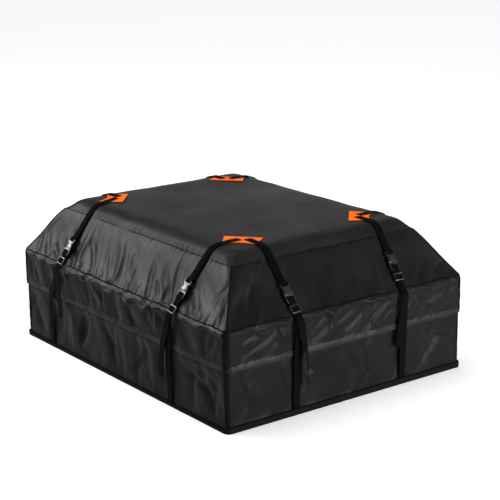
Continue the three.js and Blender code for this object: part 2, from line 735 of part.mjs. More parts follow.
function makeStrap(strap, socket, prong, slide) {
  const { side, name, hand } = strap;
  const holder = sideGroup(side);
  const { length, down, out, edge, angle } = slopeOf(side);
  const { halfLength, halfDepth, inset } = sideSizes(side);
  const tipX = hand * (halfLength - strap.tip);
  const edgeX = hand * (halfLength - strap.edge);
  const buckleX = hand * (halfLength - strap.buckle);
  const baseX = hand * (halfLength - strap.base);
  const buckleFrom = length - strap.buckleUp;
  const slideFrom = buckleFrom + prongLength + strap.slideGap;
  const straightEnd = length + strapOverhang;

  // Along the slope the strap runs straight from the lid edge through buckle and slide,
  // and leans a little to the side.
  const lean = (buckleX - edgeX) / (buckleFrom + prongLength / 2);
  const downLine = down.clone();
  downLine.x = lean;
  downLine.normalize();
  const across = new THREE.Vector3().crossVectors(out, downLine);
  const buckleEnd = edge.clone().addScaledVector(down, buckleFrom);
  buckleEnd.x = edgeX + lean * buckleFrom;
  const onSlope = (along, height) => {
    const point = buckleEnd.clone().addScaledVector(downLine, along - buckleFrom);
    return { point: point.addScaledVector(out, height), across };
  };
  const squareOn = (point) => ({ point, across: new THREE.Vector3(1, 0, 0) });

  const hardware = new THREE.Group();
  const basis = new THREE.Matrix4().makeBasis(across.clone().negate(), downLine, out);
  hardware.quaternion.setFromRotationMatrix(basis);
  hardware.position.copy(buckleEnd);
  holder.add(hardware);
  addPiece(`buckle_socket_${name}`, socket, blackNylon, hardware);
  addPiece(`buckle_prong_${name}`, prong, blackNylon, hardware);
  const slideMesh = addPiece(`strap_slide_${name}`, slide, blackNylon, hardware);
  slideMesh.position.y = slideFrom - buckleFrom;

  // Upper strap: sewn on the corner patch, over the lid edge, round the socket's bar and
  // sewn back on itself
  const bendRadius = lidEdgeRun / Math.tan(angle / 2);
  const layerHigh = 2 * buckleMiddle - strapHeight;
  const tipIn = side % 2 === 0 ? tipInLongSides : tipInShortSides;
  const upper = [];
  const topStart = -(halfDepth - inset - tipIn);
  const topEnd = -(halfDepth - inset - lidEdgeRun);
  const turned = (side * Math.PI) / 2;
  for (let i = 0; i <= 3; i += 1) {
    const share = i / 3;
    const y = THREE.MathUtils.lerp(topStart, topEnd, share);
    const x = THREE.MathUtils.lerp(tipX, edgeX, share);
    const world = new THREE.Vector2(x, y).rotateAround(new THREE.Vector2(), turned);
    upper.push(squareOn(new THREE.Vector3(x, y, topHeight(world.x, world.y) + strapHeight)));
  }
  for (let i = 1; i <= 5; i += 1) {
    const bend = (angle * i) / 5;
    const reach = bendRadius + strapHeight;
    const y = topEnd - reach * Math.sin(bend);
    const z = lidHeight - bendRadius + reach * Math.cos(bend);
    const x = edgeX + lean * lidEdgeRun * (i / 5);
    upper.push(squareOn(new THREE.Vector3(x, y, z)));
  }
  upper.push(onSlope((lidEdgeRun + buckleFrom) / 2, strapHeight));
  turnBack(buckleFrom + socketBar + 1.7, strapHeight, layerHigh).forEach(([along, height]) => {
    upper.push(onSlope(along, height));
  });
  const secondLayer = strapHeight + webbingThickness + clearance;
  upper.push(onSlope(buckleFrom - 1, layerHigh));
  upper.push(onSlope(buckleFrom - 9, secondLayer));
  upper.push(onSlope(buckleFrom - sewnLength, secondLayer));
  addPiece(`upper_strap_${name}`, webbing(upper), blackWebbing, holder);

  // Lower strap: from behind the base binding up the wall, through the slide, round the
  // prong half's bars, back through the slide, and down as a loose tail
  const slideLayer = strapHeight + 0.2;
  const tailLayer = slideLayer + webbingThickness + 0.6;
  const pocketMiddle = strapPocket / 2 + 0.05;
  const clearOfWall = (straightEnd - length) * (inset / length);
  const mainTop = onSlope(straightEnd, slideLayer).point;
  const tailTop = onSlope(straightEnd, tailLayer).point;
  const at = (x, offset, z) => new THREE.Vector3(x, -(halfDepth + offset), z);
  const mid = (share) => THREE.MathUtils.lerp(mainTop.x, baseX, share);
  const hang = new THREE.CatmullRomCurve3([
    at(baseX, pocketMiddle, wallFoot + 4),
    at(baseX, pocketMiddle, bindingHeight + 6),
    at(mid(0.97), pocketMiddle + 2.2, THREE.MathUtils.lerp(bindingHeight, hemHeight, 0.45)),
    at(mid(0.8), flapStandoff + hemThickness + 3.2, hemHeight),
    at(mid(0.35), clearOfWall + 1.2, THREE.MathUtils.lerp(hemHeight, wallHeight, 0.5)),
    at(mid(0.06), clearOfWall + 3.6, mainTop.z - 9),
    mainTop,
  ]);
  const lower = hang.getPoints(13).map(squareOn);
  lower[13].across = across;
  lower.push(onSlope(slideFrom - 2, slideLayer));
  lower.push(onSlope(buckleFrom + prongLength - 2, strapHeight));
  turnBack(buckleFrom + midBarStart - 3.2, strapHeight, layerHigh, -1).forEach(([along, height]) => {
    lower.push(onSlope(along, height));
  });
  lower.push(onSlope(buckleFrom + midBarStart + 3, layerHigh));
  lower.push(onSlope(buckleFrom + endBarStart + 1, barLow + 3));
  lower.push(onSlope(buckleFrom + prongLength + 0.5, tailLayer + 1.8));
  lower.push(onSlope(buckleFrom + prongLength + 5, tailLayer));
  const tail = new THREE.CatmullRomCurve3([
    tailTop,
    at(tailTop.x + strap.tailDrift * 0.06, clearOfWall + 7.4, tailTop.z - 12),
    at(tailTop.x + strap.tailDrift * 0.3, clearOfWall + 6.4, THREE.MathUtils.lerp(hemHeight, wallHeight, 0.5)),
    at(tailTop.x + strap.tailDrift * 0.72, clearOfWall + 3.4, hemHeight),
    at(tailTop.x + strap.tailDrift, clearOfWall + 1.5, strap.tailEnd),
  ]);
  const loose = tail.getPoints(9).map(squareOn);
  loose[0].across = across;
  lower.push(...loose);
  addPiece(`lower_strap_${name}`, webbing(lower), blackWebbing, holder);
}

makeBase();
for (let side = 0; side < 4; side += 1) {
  makeWall(side);
  makeSlope(side);
}
makeLidTop();
makeStormFlap();
makeZip();
makeCornerPatches();

const socketGeometry = toGeometry(makeSocket());
const prongGeometry = toGeometry(makeProng());
const slideGeometry = toGeometry(makeSlide());
straps.forEach((strap) => makeStrap(strap, socketGeometry, prongGeometry, slideGeometry));

export default bag;
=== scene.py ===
import math
import random

import bpy
from mathutils import Matrix, Vector, noise


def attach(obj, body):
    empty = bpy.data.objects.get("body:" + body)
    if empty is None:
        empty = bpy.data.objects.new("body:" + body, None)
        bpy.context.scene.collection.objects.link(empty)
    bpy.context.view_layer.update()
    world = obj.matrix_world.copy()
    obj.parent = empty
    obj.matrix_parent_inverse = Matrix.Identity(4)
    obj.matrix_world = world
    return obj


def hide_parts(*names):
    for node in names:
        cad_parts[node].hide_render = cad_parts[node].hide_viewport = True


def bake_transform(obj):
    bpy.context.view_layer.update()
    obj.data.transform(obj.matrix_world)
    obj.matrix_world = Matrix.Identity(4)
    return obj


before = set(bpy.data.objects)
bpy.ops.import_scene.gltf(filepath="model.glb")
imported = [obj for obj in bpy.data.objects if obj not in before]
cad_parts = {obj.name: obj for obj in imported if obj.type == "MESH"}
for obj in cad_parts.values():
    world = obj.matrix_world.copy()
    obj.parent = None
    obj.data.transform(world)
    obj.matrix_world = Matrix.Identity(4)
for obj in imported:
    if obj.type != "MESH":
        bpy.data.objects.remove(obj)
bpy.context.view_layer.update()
print("stage: frame loaded with", len(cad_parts), "nodes")

# Sizes of the bag's outer form in millimetres, as its panels are cut. A table with four
# entries gives them for the front, right, rear and left, one with two for long and short sides.
bagShape = {
    "length": 1118,
    "width": 886,
    "wallHeight": 297.3,
    "lidRise": 172.7,
    "insetLong": 122,
    "insetShort": 132,
    "wallRadius": 14,
    "lidRadius": 32,
    "edgeRun": 24,
    "seamDrop": 33,
    "crown": 8,
    "flapDrop": 117,
    "straightShare": 0.88,
    "cornerSwell": (4, 6, 6, 11),
}
wallHeight, lidRise, seamDrop = (bagShape[key] for key in ("wallHeight", "lidRise", "seamDrop"))
wallRadius, edgeRun, straightShare = (bagShape[key] for key in ("wallRadius", "edgeRun", "straightShare"))
lidHeight = wallHeight + lidRise
hemHeight = wallHeight - bagShape["flapDrop"]
seamClimb = (lidRise - seamDrop) / lidRise
sideNames = ["front", "right", "rear", "left"]

# Each strap: side, places along the side at the tip, lid edge, buckle and base, how far
# the buckle starts up the slope, gap to the slide, and the loose tail's end and drift
strapTable = {
    "front_right": (0, 331, 334, 316, 282, 96, 24, 85, -56),
    "front_left": (0, -331, -305, -318, -396, 85, 7, 118, 4),
    "right_front": (1, -208, -209, -201, -201, 95, 7, 85, 27),
    "right_rear": (1, 208, 212, 205, 203, 118, 9, 124, -20),
    "rear_right": (2, -331, -330, -318, -300, 92, 10, 96, 38),
    "rear_left": (2, 331, 330, 318, 300, 98, 12, 108, -34),
    "left_rear": (3, -208, -210, -204, -202, 97, 8, 92, 32),
    "left_front": (3, 208, 210, 204, 206, 104, 9, 112, -30),
}


# Camera

cameraView = {
    "place": (3.614, -2.647, 1.559),
    "yaw": 36.84,
    "pitch": 15.33,
    "roll": -0.62,
    "lens": 105.85,
    "sensor": 36,
    "farthest": 60,
}


def addCamera(view):
    yaw, pitch, roll = (math.radians(view[key]) for key in ("yaw", "pitch", "roll"))
    flat = Vector((-math.cos(yaw), math.sin(yaw), 0))
    forward = flat * math.cos(pitch) - Vector((0, 0, math.sin(pitch)))
    right = forward.cross(Vector((0, 0, 1))).normalized()
    up = right.cross(forward)
    tiltedRight = right * math.cos(roll) + up * math.sin(roll)
    tiltedUp = up * math.cos(roll) - right * math.sin(roll)
    bpy.ops.object.camera_add()
    camera = bpy.context.object
    camera.name = "studioCamera"
    turn = Matrix((tiltedRight, tiltedUp, -forward)).transposed()
    camera.matrix_world = Matrix.Translation(view["place"]) @ turn.to_4x4()
    camera.data.lens = view["lens"]
    camera.data.sensor_width = view["sensor"]
    camera.data.clip_end = view["farthest"]
    bpy.context.scene.camera = camera


addCamera(cameraView)
print("stage: camera set")


# Materials

def toLinear(colour):
    channels = [int(colour[i : i + 2], 16) / 255 for i in (1, 3, 5)]
    linear = [c / 12.92 if c <= 0.04045 else ((c + 0.055) / 1.055) ** 2.4 for c in channels]
    return (*linear, 1.0)


def addNode(material, kind, settings=None, links=None):
    node = material.node_tree.nodes.new(kind)
    for key, value in (settings or {}).items():
        if isinstance(key, int) or key in node.inputs:
            node.inputs[key].default_value = value
        else:
            setattr(node, key, value)
    for key, source in (links or {}).items():
        material.node_tree.links.new(source, node.inputs[key])
    return node


def newMaterial(name, sockets):
    material = bpy.data.materials.new(name)
    material.use_nodes = True
    shader = material.node_tree.nodes["Principled BSDF"]
    for key, value in sockets.items():
        shader.inputs[key].default_value = value
    return material, shader


def plugged(material, shader, sources):
    for key, source in sources.items():
        material.node_tree.links.new(source, shader.inputs[key])
    return material


def addPlace(material, space):
    return addNode(material, "ShaderNodeTexCoord").outputs[space]


def addNoise(material, place, settings):
    return addNode(material, "ShaderNodeTexNoise", settings, {"Vector": place}).outputs["Fac"]


def addTone(material, factor, colours, positions=(0.0, 1.0)):
    ramp = addNode(material, "ShaderNodeValToRGB", {}, {"Fac": factor})
    for stop, colour, position in zip(ramp.color_ramp.elements, colours, positions):
        stop.position = position
        stop.color = toLinear(colour)
    return ramp.outputs["Color"]


def addRange(material, value, start, end):
    settings = {"From Min": start[0], "From Max": start[1], "To Min": end[0], "To Max": end[1]}
    return addNode(material, "ShaderNodeMapRange", settings, {"Value": value}).outputs["Result"]


def addBump(material, height, strength, distance, under=None):
    links = {"Height": height}
    if under is not None:
        links["Normal"] = under
    settings = {"Strength": strength, "Distance": distance}
    return addNode(material, "ShaderNodeBump", settings, links).outputs["Normal"]


# Threads both ways, each with its pitch in mm and how much it wanders. One band of the wave
# texture is 0.314 m wide at scale 1.
def addWeave(material, place, pitches, wander=(0.2, 0.2)):
    waves = {}
    for index, direction in enumerate("XY"):
        settings = {"bands_direction": direction, "Distortion": wander[index],
                    "Scale": 0.314 / (pitches[index] / 1000)}
        waves[index] = addNode(material, "ShaderNodeTexWave", settings, {"Vector": place}).outputs["Fac"]
    return addNode(material, "ShaderNodeMath", {"operation": "MULTIPLY"}, waves).outputs["Value"]


# Pitches are in mm. Real threads lie 0.6 mm apart and are drawn coarser so that they show.
# Folds hang down the cloth, so they are stretched that way.
clothFinish = {
    "threadPitch": 2.6,
    "crinklePitch": 9,
    "cloudPitch": 160,
    "stretch": 3.4,
    "orangePitch": 3.0,
    # painted shade at the orange patches' turned rim: distances from the edge in m over which it fades out
    "rimShadeReach": (0.0016, 0.0032),
    # strength of the orange cloth's painted glow, an emission of its own colour
    "paintedGlow": 0.28,
}


# Polyester oxford cloth, woven and coated with PVC: near black, a satin film over the
# weave that catches light along soft crumples
def coatedOxford(name, colours, roughness, specular, crumple, foldPitch):
    material, shader = newMaterial(name, {"Roughness": roughness, "Specular IOR Level": specular, "IOR": 1.5,
                                          "Sheen Weight": 0.02, "Sheen Roughness": 0.5})
    place = addPlace(material, "UV")
    cloud = addNoise(material, place, {"Scale": 1000 / clothFinish["cloudPitch"], "Detail": 4.0})
    gloss = addRange(material, cloud, (0.3, 0.7), (roughness - 0.07, roughness + 0.08))
    stretched = {"vector_type": "TEXTURE", "Scale": (1.0, clothFinish["stretch"], 1.0)}
    drawn = addNode(material, "ShaderNodeMapping", stretched, {"Vector": place}).outputs["Vector"]
    crumpled = addNoise(material, drawn, {"noise_type": "RIDGED_MULTIFRACTAL", "Detail": 1.5,
                                          "Scale": 1000 / (0.7 * foldPitch), "Distortion": 0.5})
    sunken = addNoise(material, drawn, {"Scale": 1000 / foldPitch, "Detail": 1.0, "Distortion": 0.3})
    crinkled = addNoise(material, place, {"Scale": 1000 / clothFinish["crinklePitch"], "Detail": 2.0})
    threads = addWeave(material, place, 2 * (clothFinish["threadPitch"],))
    normal = addBump(material, threads, 0.18, 0.0004)
    normal = addBump(material, crinkled, 0.25 * crumple, 0.0012, normal)
    normal = addBump(material, crumpled, 0.45 * crumple, 0.0022, normal)
    normal = addBump(material, sunken, 0.8 * crumple, 0.009, normal)
    return plugged(material, shader, {
        "Base Color": addTone(material, cloud, colours, (0.3, 0.72)),
        "Roughness": gloss,
        "Normal": normal,
    })


# A material whose tone and relief both come from one pattern
def patterned(name, sockets, space, addPattern, settings, colours, relief=None):
    material, shader = newMaterial(name, sockets)
    pattern = addPattern(material, addPlace(material, space), *settings)
    sources = {"Base Color": addTone(material, pattern, colours)}
    if relief:
        sources["Normal"] = addBump(material, pattern, *relief)
    return plugged(material, shader, sources)


# Polypropylene webbing, woven flat: matt black with ribs across and a soft nap
def wovenWebbing(name, colours, ribPitch):
    sockets = {"Roughness": 0.75, "Specular IOR Level": 0.03, "IOR": 1.5, "Sheen Weight": 0.01}
    ribs = ((ribPitch, 1.6 * ribPitch), (0.3, 0.2))
    return patterned(name, sockets, "UV", addWeave, ribs, colours, (0.5, 0.0006))


# Acetal buckle parts, injection moulded: glossy black with a very fine spark texture
def mouldedAcetal(name, colours):
    sockets = {"Roughness": 0.28, "IOR": 1.48, "Specular IOR Level": 0.7, "Coat Weight": 0.35,
               "Coat Roughness": 0.12}
    grain = ({"Scale": 900.0, "Detail": 2.0},)
    return patterned(name, sockets, "Object", addNoise, grain, colours, (0.15, 0.0002))


# Lacquered zinc alloy, die cast: dark, semi-gloss, slightly uneven lacquer
def lacqueredZinc(name, colours):
    sockets = {"Metallic": 0.8, "Roughness": 0.38}
    return patterned(name, sockets, "Object", addNoise, ({"Scale": 240.0, "Detail": 3.0},), colours)


# Orange coated cloth, woven and dyed fluorescent; its glow is painted light, an even emission of its own
# colour that brightens it under any lamp.
# Its rim is painted darker, as painted shade where the edge is turned under, from the piece's own edge
# distance.
def orangeOxford(name, colours, rimShadeColour):
    material, shader = newMaterial(name, {"Roughness": 0.55, "Specular IOR Level": 0.12, "IOR": 1.5,
                                          "Emission Strength": clothFinish["paintedGlow"]})
    place = addPlace(material, "UV")
    cloud = addNoise(material, place, {"Scale": 14.0, "Detail": 3.0})
    edge = addNode(material, "ShaderNodeAttribute", {"attribute_name": "edgeDistance"})
    inside = addRange(material, edge.outputs["Fac"], clothFinish["rimShadeReach"], (0.0, 1.0))
    tone = addTone(material, cloud, colours, (0.3, 0.75))
    rim = addNode(material, "ShaderNodeMix", {"data_type": "RGBA", 6: toLinear(rimShadeColour)},
                  {0: inside, 7: tone})
    threads = addWeave(material, place, 2 * (clothFinish["orangePitch"],))
    return plugged(material, shader, {
        "Base Color": rim.outputs[2],
        "Emission Color": rim.outputs[2],
        "Normal": addBump(material, threads, 0.3, 0.0004),
    })


# Matt emulsion on a smooth board, lit a little from below: the studio's pale floor
def paleBoard(name):
    return newMaterial(name, {"Roughness": 0.9, "Specular IOR Level": 0.1, "Base Color": toLinear("#f7f7f7"),
                              "Emission Color": toLinear("#ffffff"), "Emission Strength": 0.4})[0]


# Coated cloths: colours, roughness, specular level, depth of the crumples and their pitch in mm
# One fabric throughout: the tones of its copies differ as painted light and shade, lighter on the top, darker
# on the slopes and walls, for how light falls on each.
slopeCloth = coatedOxford("coatedOxfordSlope", ("#0c0c0b", "#141413"), 0.37, 0.135, 0.65, 66)
wallCloth = coatedOxford("coatedOxfordWall", ("#101010", "#181817"), 0.32, 0.024, 1.4, 88)
# the hem's cloth is painted paler than the flap's, as painted light where the hem band catches the light
paintedLightHemCloth = coatedOxford("coatedOxfordHemPaintedLight", ("#171716", "#1f1f1d"), 0.36, 0.05, 0.6, 96)
topCloth = coatedOxford("coatedOxfordTop", ("#151515", "#1b1b1a"), 0.38, 0.09, 0.2, 150)
baseCloth = coatedOxford("coatedOxfordBase", ("#121211", "#171716"), 0.55, 0.3, 0.4, 120)
# Webbings: colours and the pitch of the ribs in mm
bindingTape = wovenWebbing("ribbedBindingTape", ("#0a0a0b", "#151516"), 3.4)
strapWebbing = wovenWebbing("polypropyleneWebbing", ("#010101", "#060606"), 3.0)
seamThread = wovenWebbing("twistedSeamThread", ("#040405", "#0a0a0b"), 4.0)
blackAcetal = mouldedAcetal("mouldedAcetal", ("#131315", "#262628"))
zincLacquer = lacqueredZinc("lacqueredZincAlloy", ("#26262a", "#3d3d42"))
# the last colour is the painted shade at the patches' rim
orangeCloth = orangeOxford("orangeCoatedOxford", ("#fa660a", "#ff7c16"), "#5a2208")
print("stage: materials made")


# Outline of the bag, in one side's own frame: it runs along X and faces -Y

def sideSizes(side):
    length, width = bagShape["length"], bagShape["width"]
    inset, endInset = bagShape["insetLong"], bagShape["insetShort"]
    if side % 2:
        length, width, inset, endInset = width, length, endInset, inset
    return length / 2, width / 2, inset, endInset


def outlinePoint(halfLength, halfDepth, radius, place):
    reach = abs(place)
    sign = 1 if place >= 0 else -1
    straight = halfLength - radius
    if reach <= straightShare:
        return sign * straight * reach / straightShare, -halfDepth, 0.0, -1.0
    turn = (reach - straightShare) / (1 - straightShare) * math.pi / 4
    nx, ny = sign * math.sin(turn), -math.cos(turn)
    return sign * straight + radius * nx, -(halfDepth - radius) + radius * ny, nx, ny


def wallOutline(side, place, offset):
    halfLength, halfDepth, _, _ = sideSizes(side)
    return outlinePoint(halfLength + offset, halfDepth + offset, wallRadius + offset, place)


# The lid's corners are a little fuller than straight
def cornerSwell(side, place, climb):
    corner = side if place > 0 else (side + 3) % 4
    fullness = math.sin(math.pi * min(1, climb) ** 1.8) ** 1.3
    return bagShape["cornerSwell"][corner] * fullness * abs(place) ** 10


def lidOutline(side, place, climb):
    halfLength, halfDepth, inset, endInset = sideSizes(side)
    swell = cornerSwell(side, place, climb)
    halfLength += swell - endInset * climb
    halfDepth += swell - inset * climb
    return outlinePoint(halfLength, halfDepth, mixed(wallRadius, bagShape["lidRadius"], climb), place)


def inRow(side, x, y, z):
    turn = side * math.pi / 2
    cos, sin = math.cos(turn), math.sin(turn)
    return Vector((x * cos - y * sin, x * sin + y * cos, z)) / 1000


def alongWall(side, place):
    return wallOutline(side, place, 0)[0]


def onWall(side, place, offset, z):
    x, y, _, _ = wallOutline(side, place, offset)
    return inRow(side, x, y, z)


# A point moved under a tilted face by a depth
def sunkIn(side, x, y, z, normal, tilt, depth):
    x -= normal[0] * math.sin(tilt) * depth
    y -= normal[1] * math.sin(tilt) * depth
    return inRow(side, x, y, z - math.cos(tilt) * depth)


def slopeAngle(side):
    return math.atan2(lidRise, sideSizes(side)[2])


def edgeBendRadius(side):
    return edgeRun / math.tan(slopeAngle(side) / 2)


def smoothStep(value, low, high):
    share = min(1, max(0, (value - low) / (high - low)))
    return share * share * (3 - 2 * share)


def mixed(a, b, share):
    return a + (b - a) * share


def bell(x, at, spread):
    return math.exp(-(((x - at) / spread) ** 2))


# Folds in the cloth. The noise runs from -1 to 1. Its last number, or the one that grows
# with the side, only picks another part of the noise, so that no two places look alike.

def noiseAt(x, y, z):
    return noise.noise(Vector((x, y, z)))


def fadeAtCorners(place):
    return 1 - abs(place) ** 6


# Soft fold field from 0 to 1: upright folds of about one pitch that lean and wander
def foldField(side, x, z, layer, lean=0.0):
    seed = layer["seed"] + side * layer["step"]
    pitch = layer["pitch"]
    wander = 0.35 * pitch * noiseAt(x / (3 * pitch), z / (2 * pitch), seed + 9.1)
    across = (x + wander + lean * z) / pitch
    along = z / (pitch * layer["stretch"])
    soft = noiseAt(across, along, seed)
    sharp = min(1, abs(noiseAt(across * 0.8 + 7.3, along, seed + 3.7)) * 2.6)
    return min(1, max(0, 0.45 + 0.75 * soft)) * 0.62 + sharp * 0.38


# Small puckers that a seam's thread pulls into the cloth beside it
def puckers(x, distance, seed, pitch, reach):
    wave = 0.5 + 0.5 * math.sin(2 * math.pi * x / pitch + 5 * noiseAt(x / (pitch * 3), seed, 0.3))
    uneven = 0.55 + 0.9 * noiseAt(x / 90, seed + 5.2, 1.7)
    return wave * max(0.1, uneven) * math.exp(-distance / reach)


# One crease drawn as a line on a side: its two ends' places and heights, width and depth.
# Its profile is steep on one flank and soft on the other. It is deepest at peak, a share of
# its length.
def crease(x, z, line):
    x0, z0, x1, z1, width, depth = line[:6]
    peak = line[6] if len(line) > 6 else 0.5
    dx, dz = x1 - x0, z1 - z0
    length = math.hypot(dx, dz)
    along = ((x - x0) * dx + (z - z0) * dz) / (length * length)
    if along < 0 or along > 1:
        return 0.0
    across = ((x - x0) * dz - (z - z0) * dx) / length
    across += 0.6 * width * math.sin(along * 4 + x0)
    if abs(across) > 2.6 * width:
        return 0.0
    flank = width if across * depth > 0 else width * 0.5
    taper = math.sin(math.pi * along ** (math.log(0.5) / math.log(peak))) ** 0.8
    return depth * bell(across, 0, flank) * taper


def creases(x, z, lines):
    return sum(crease(x, z, line) for line in lines)


# Folds that hang over a band of a side, spread evenly but for some chance. They start at
# one height and run to another, each with its own length, lean, width and depth.
def hangingFolds(side, folds, margin=25):
    chance = random.Random(folds["seed"] + side)
    half = sideSizes(side)[0] - margin
    low, high = folds["heights"]
    count = folds["count"][side % 2]
    lines = []
    for i in range(count):
        x = -half + 2 * half * (i + 0.5 + chance.uniform(-0.4, 0.4)) / count
        run = (high - low) * chance.uniform(*folds["length"])
        slant = chance.uniform(*folds["slant"][side])
        sign = -1 if chance.random() < 0.3 else 1
        width = chance.uniform(*folds["width"])
        depth = sign * chance.uniform(*folds["depth"])
        lines.append((x, low, x + slant, low + run, width, depth, folds["peak"]))
    return lines


def foldLines(piece):
    return [sum((hangingFolds(side, folds) for folds in piece["hanging"]), []) + piece["creases"][side]
            for side in range(4)]


# How close a strap runs at that height, from 0 far off to 1 under it
def underStraps(side, x, z, reach):
    close = 0.0
    for strapSide, _, edge, buckle, base, *_ in strapTable.values():
        if strapSide != side:
            continue
        if z > wallHeight:
            at = mixed(buckle, edge, min(1, (z - wallHeight) / lidRise))
        else:
            at = mixed(base, buckle, (z / wallHeight) ** 0.8)
        close = max(close, bell(x, at, reach))
    return close


# Shaping of the pieces

def pick(*pieces):
    if bpy.context.mode != "OBJECT":
        bpy.ops.object.mode_set(mode="OBJECT")
    bpy.ops.object.select_all(action="DESELECT")
    for piece in pieces:
        piece.select_set(True)
    if pieces:
        bpy.context.view_layer.objects.active = pieces[0]


# Cloth pieces are grids set out on the bag's form. Their UV map is in metres of cloth, and
# slanted by the lean of the folds.
def clothGrid(name, columns, rows, pointAt, clothSize, lean=0.0):
    pick()
    bpy.ops.mesh.primitive_grid_add(x_subdivisions=columns, y_subdivisions=rows, size=2)
    piece = bpy.context.object
    piece.name = name
    for vertex in piece.data.vertices:
        vertex.co = pointAt((vertex.co.x + 1) / 2, (vertex.co.y + 1) / 2)
    for item in piece.data.uv_layers.active.data:
        across, up = item.uv[0] * clothSize[0], item.uv[1] * clothSize[1]
        item.uv = (across + lean * up, up)
    return piece


# Spread of the columns along a side, closer together round its rounded corners
def placeAt(u, turn=0.94):
    t = 2 * u - 1
    reach = abs(t)
    if reach < turn:
        place = reach / turn * straightShare
    else:
        place = straightShare + (reach - turn) / (1 - turn) * (1 - straightShare)
    return math.copysign(place, t)


def clothSizeOf(side, height):
    return 2 * sideSizes(side)[0] / 1000, height / 1000


# A grid along a side, from a function of the side, the place along it and the share up it.
# The piece's lean says how far its folds lean over on each side, across per up.
def sideGrid(name, side, piece, pointOn, height):
    def pointAt(u, w):
        return pointOn(side, placeAt(u), w)

    size = clothSizeOf(side, height)
    return clothGrid(name, piece["columns"], piece["rows"], pointAt, size, piece["lean"][side])


def ringOfGrids(name, sides, piece, pointOn, height, gap=0.0002):
    grids = [sideGrid(name, side, piece, pointOn, height) for side in sides]
    pick(*grids)
    bpy.ops.object.join()
    grids[0].name = name
    return welded(grids[0], gap)


def applyModifier(piece, kind, settings):
    pick(piece)
    modifier = piece.modifiers.new("shaping", kind)
    for key, value in settings.items():
        setattr(modifier, key, value)
    bpy.ops.object.modifier_apply(modifier=modifier.name)


def smoothed(piece, angle=60):
    pick(piece)
    bpy.ops.object.shade_smooth_by_angle(angle=math.radians(angle))


def bevelled(piece, radius, segments, angle):
    applyModifier(piece, "BEVEL", {"width": radius / 1000, "segments": segments, "limit_method": "ANGLE",
                                   "angle_limit": math.radians(angle)})


# Gives a sheet its thickness in mm, at its back unless the offset says otherwise
def thickened(piece, thickness, angle=60, offset=-1):
    applyModifier(piece, "SOLIDIFY", {"thickness": thickness / 1000, "offset": offset})
    smoothed(piece, angle)


def dressed(piece, material, body, nodes=()):
    piece.data.materials.clear()
    piece.data.materials.append(material)
    if body:
        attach(piece, body)
    if nodes:
        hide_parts(*nodes)


def welded(piece, gap, flattened=0):
    pick(piece)
    bpy.ops.object.mode_set(mode="EDIT")
    bpy.ops.mesh.select_all(action="SELECT")
    bpy.ops.mesh.remove_doubles(threshold=gap)
    if flattened:
        bpy.ops.mesh.dissolve_limited(angle_limit=math.radians(flattened))
    bpy.ops.object.mode_set(mode="OBJECT")
    return piece


# Walls

wallPiece = {
    "columns": 220,
    "rows": 56,
    "lean": (0.1, -0.7, 0.3, -0.3),
    "foot": 2.6,
    "topBehindFlap": 253.4,
    "topAtRear": 295.0,
    "bindingTop": 19,
    "behindHem": 165.3,
    "recess": 8.3,
    "rearRecess": 3.2,
    "recessFull": (229.4, 288),
    "thickness": 1.0,
    "foldDepth": 5.0,
    "broad": {"seed": 11.3, "step": 4.7, "pitch": 120, "stretch": 2.6},
    "broadLean": (-0.3, 0.35, -0.3, 0.35),
    "fine": {"seed": 31.9, "step": 2.1, "pitch": 42, "stretch": 2.2},
    "hanging": [
        {"seed": 41, "count": (11, 8), "heights": (182, 20), "slant": 4 * [(-50, 60)], "width": (18, 36),
         "depth": (4, 9), "length": (0.7, 1.0), "peak": 0.35},
    ],
    "creases": [
        [(-545, 172, -430, 30, 20, 6), (300, 170, 540, 60, 16, 7), (395, 176, 530, 110, 12, 6),
         (-240, 40, -160, 170, 26, 7), (90, 30, 150, 170, 26, 8), (530, 170, 500, 30, 18, 7)],
        [(-436, 30, -300, 172, 22, 7), (-425, 110, -330, 175, 14, 6), (20, 172, 90, 60, 26, 7),
         (250, 40, 430, 172, 20, 7), (300, 160, 436, 60, 16, 6), (-180, 175, -120, 120, 20, 7)],
        [(-480, 172, -330, 40, 20, 6), (200, 40, 330, 172, 20, 6)],
        [(-400, 172, -260, 40, 20, 6), (180, 40, 330, 172, 20, 6)],
    ],
}
wallLines = foldLines(wallPiece)


# The walls lie back behind the flap, to make room for the zip. At the rear there is no zip:
# the wall goes on up to the lid.
def wallRecess(side, height):
    full, top = wallPiece["recessFull"]
    recess = wallPiece["recess"] * smoothStep(height, wallPiece["behindHem"], full)
    if side != 2:
        return recess
    return mixed(recess, wallPiece["rearRecess"], smoothStep(height, full, top))


def wallFolds(side, x, z, place):
    aboveFoot = max(0, z - wallPiece["bindingTop"])
    share = min(1, aboveFoot / (wallPiece["behindHem"] - wallPiece["bindingTop"]))
    hang = math.sin(math.pi * share ** 0.75) ** 0.6 if share < 1 else 0.0
    field = foldField(side, x, z, wallPiece["broad"], wallPiece["broadLean"][side])
    fine = foldField(side, x, z, wallPiece["fine"], 0.5)
    depth = wallPiece["foldDepth"] * (0.75 * field + 0.25 * fine)
    depth += 1.6 * puckers(x, aboveFoot, 3.3 + side, 26, 26)
    depth += creases(x, z, wallLines[side])
    depth = mixed(max(-2.0, depth * hang), 1.5 + 1.5 * hang, 0.85 * underStraps(side, x, z, 26))
    return depth * fadeAtCorners(place)


def wallTop(side):
    return wallPiece["topAtRear"] if side == 2 else wallPiece["topBehindFlap"]


def wallPoint(side, place, w):
    z = mixed(wallPiece["foot"], wallTop(side), w)
    depth = wallRecess(side, z) + wallFolds(side, alongWall(side, place), z, place)
    return onWall(side, place, -depth, z)


for side, sideName in enumerate(sideNames):
    height = wallTop(side) - wallPiece["foot"]
    wall = sideGrid("wallCloth_" + sideName, side, wallPiece, wallPoint, height)
    thickened(wall, wallPiece["thickness"])
    dressed(wall, wallCloth, "bag", ["wall_" + sideName])
    clothSizeOf(side, height)
print("stage: walls made")


# Lid slopes

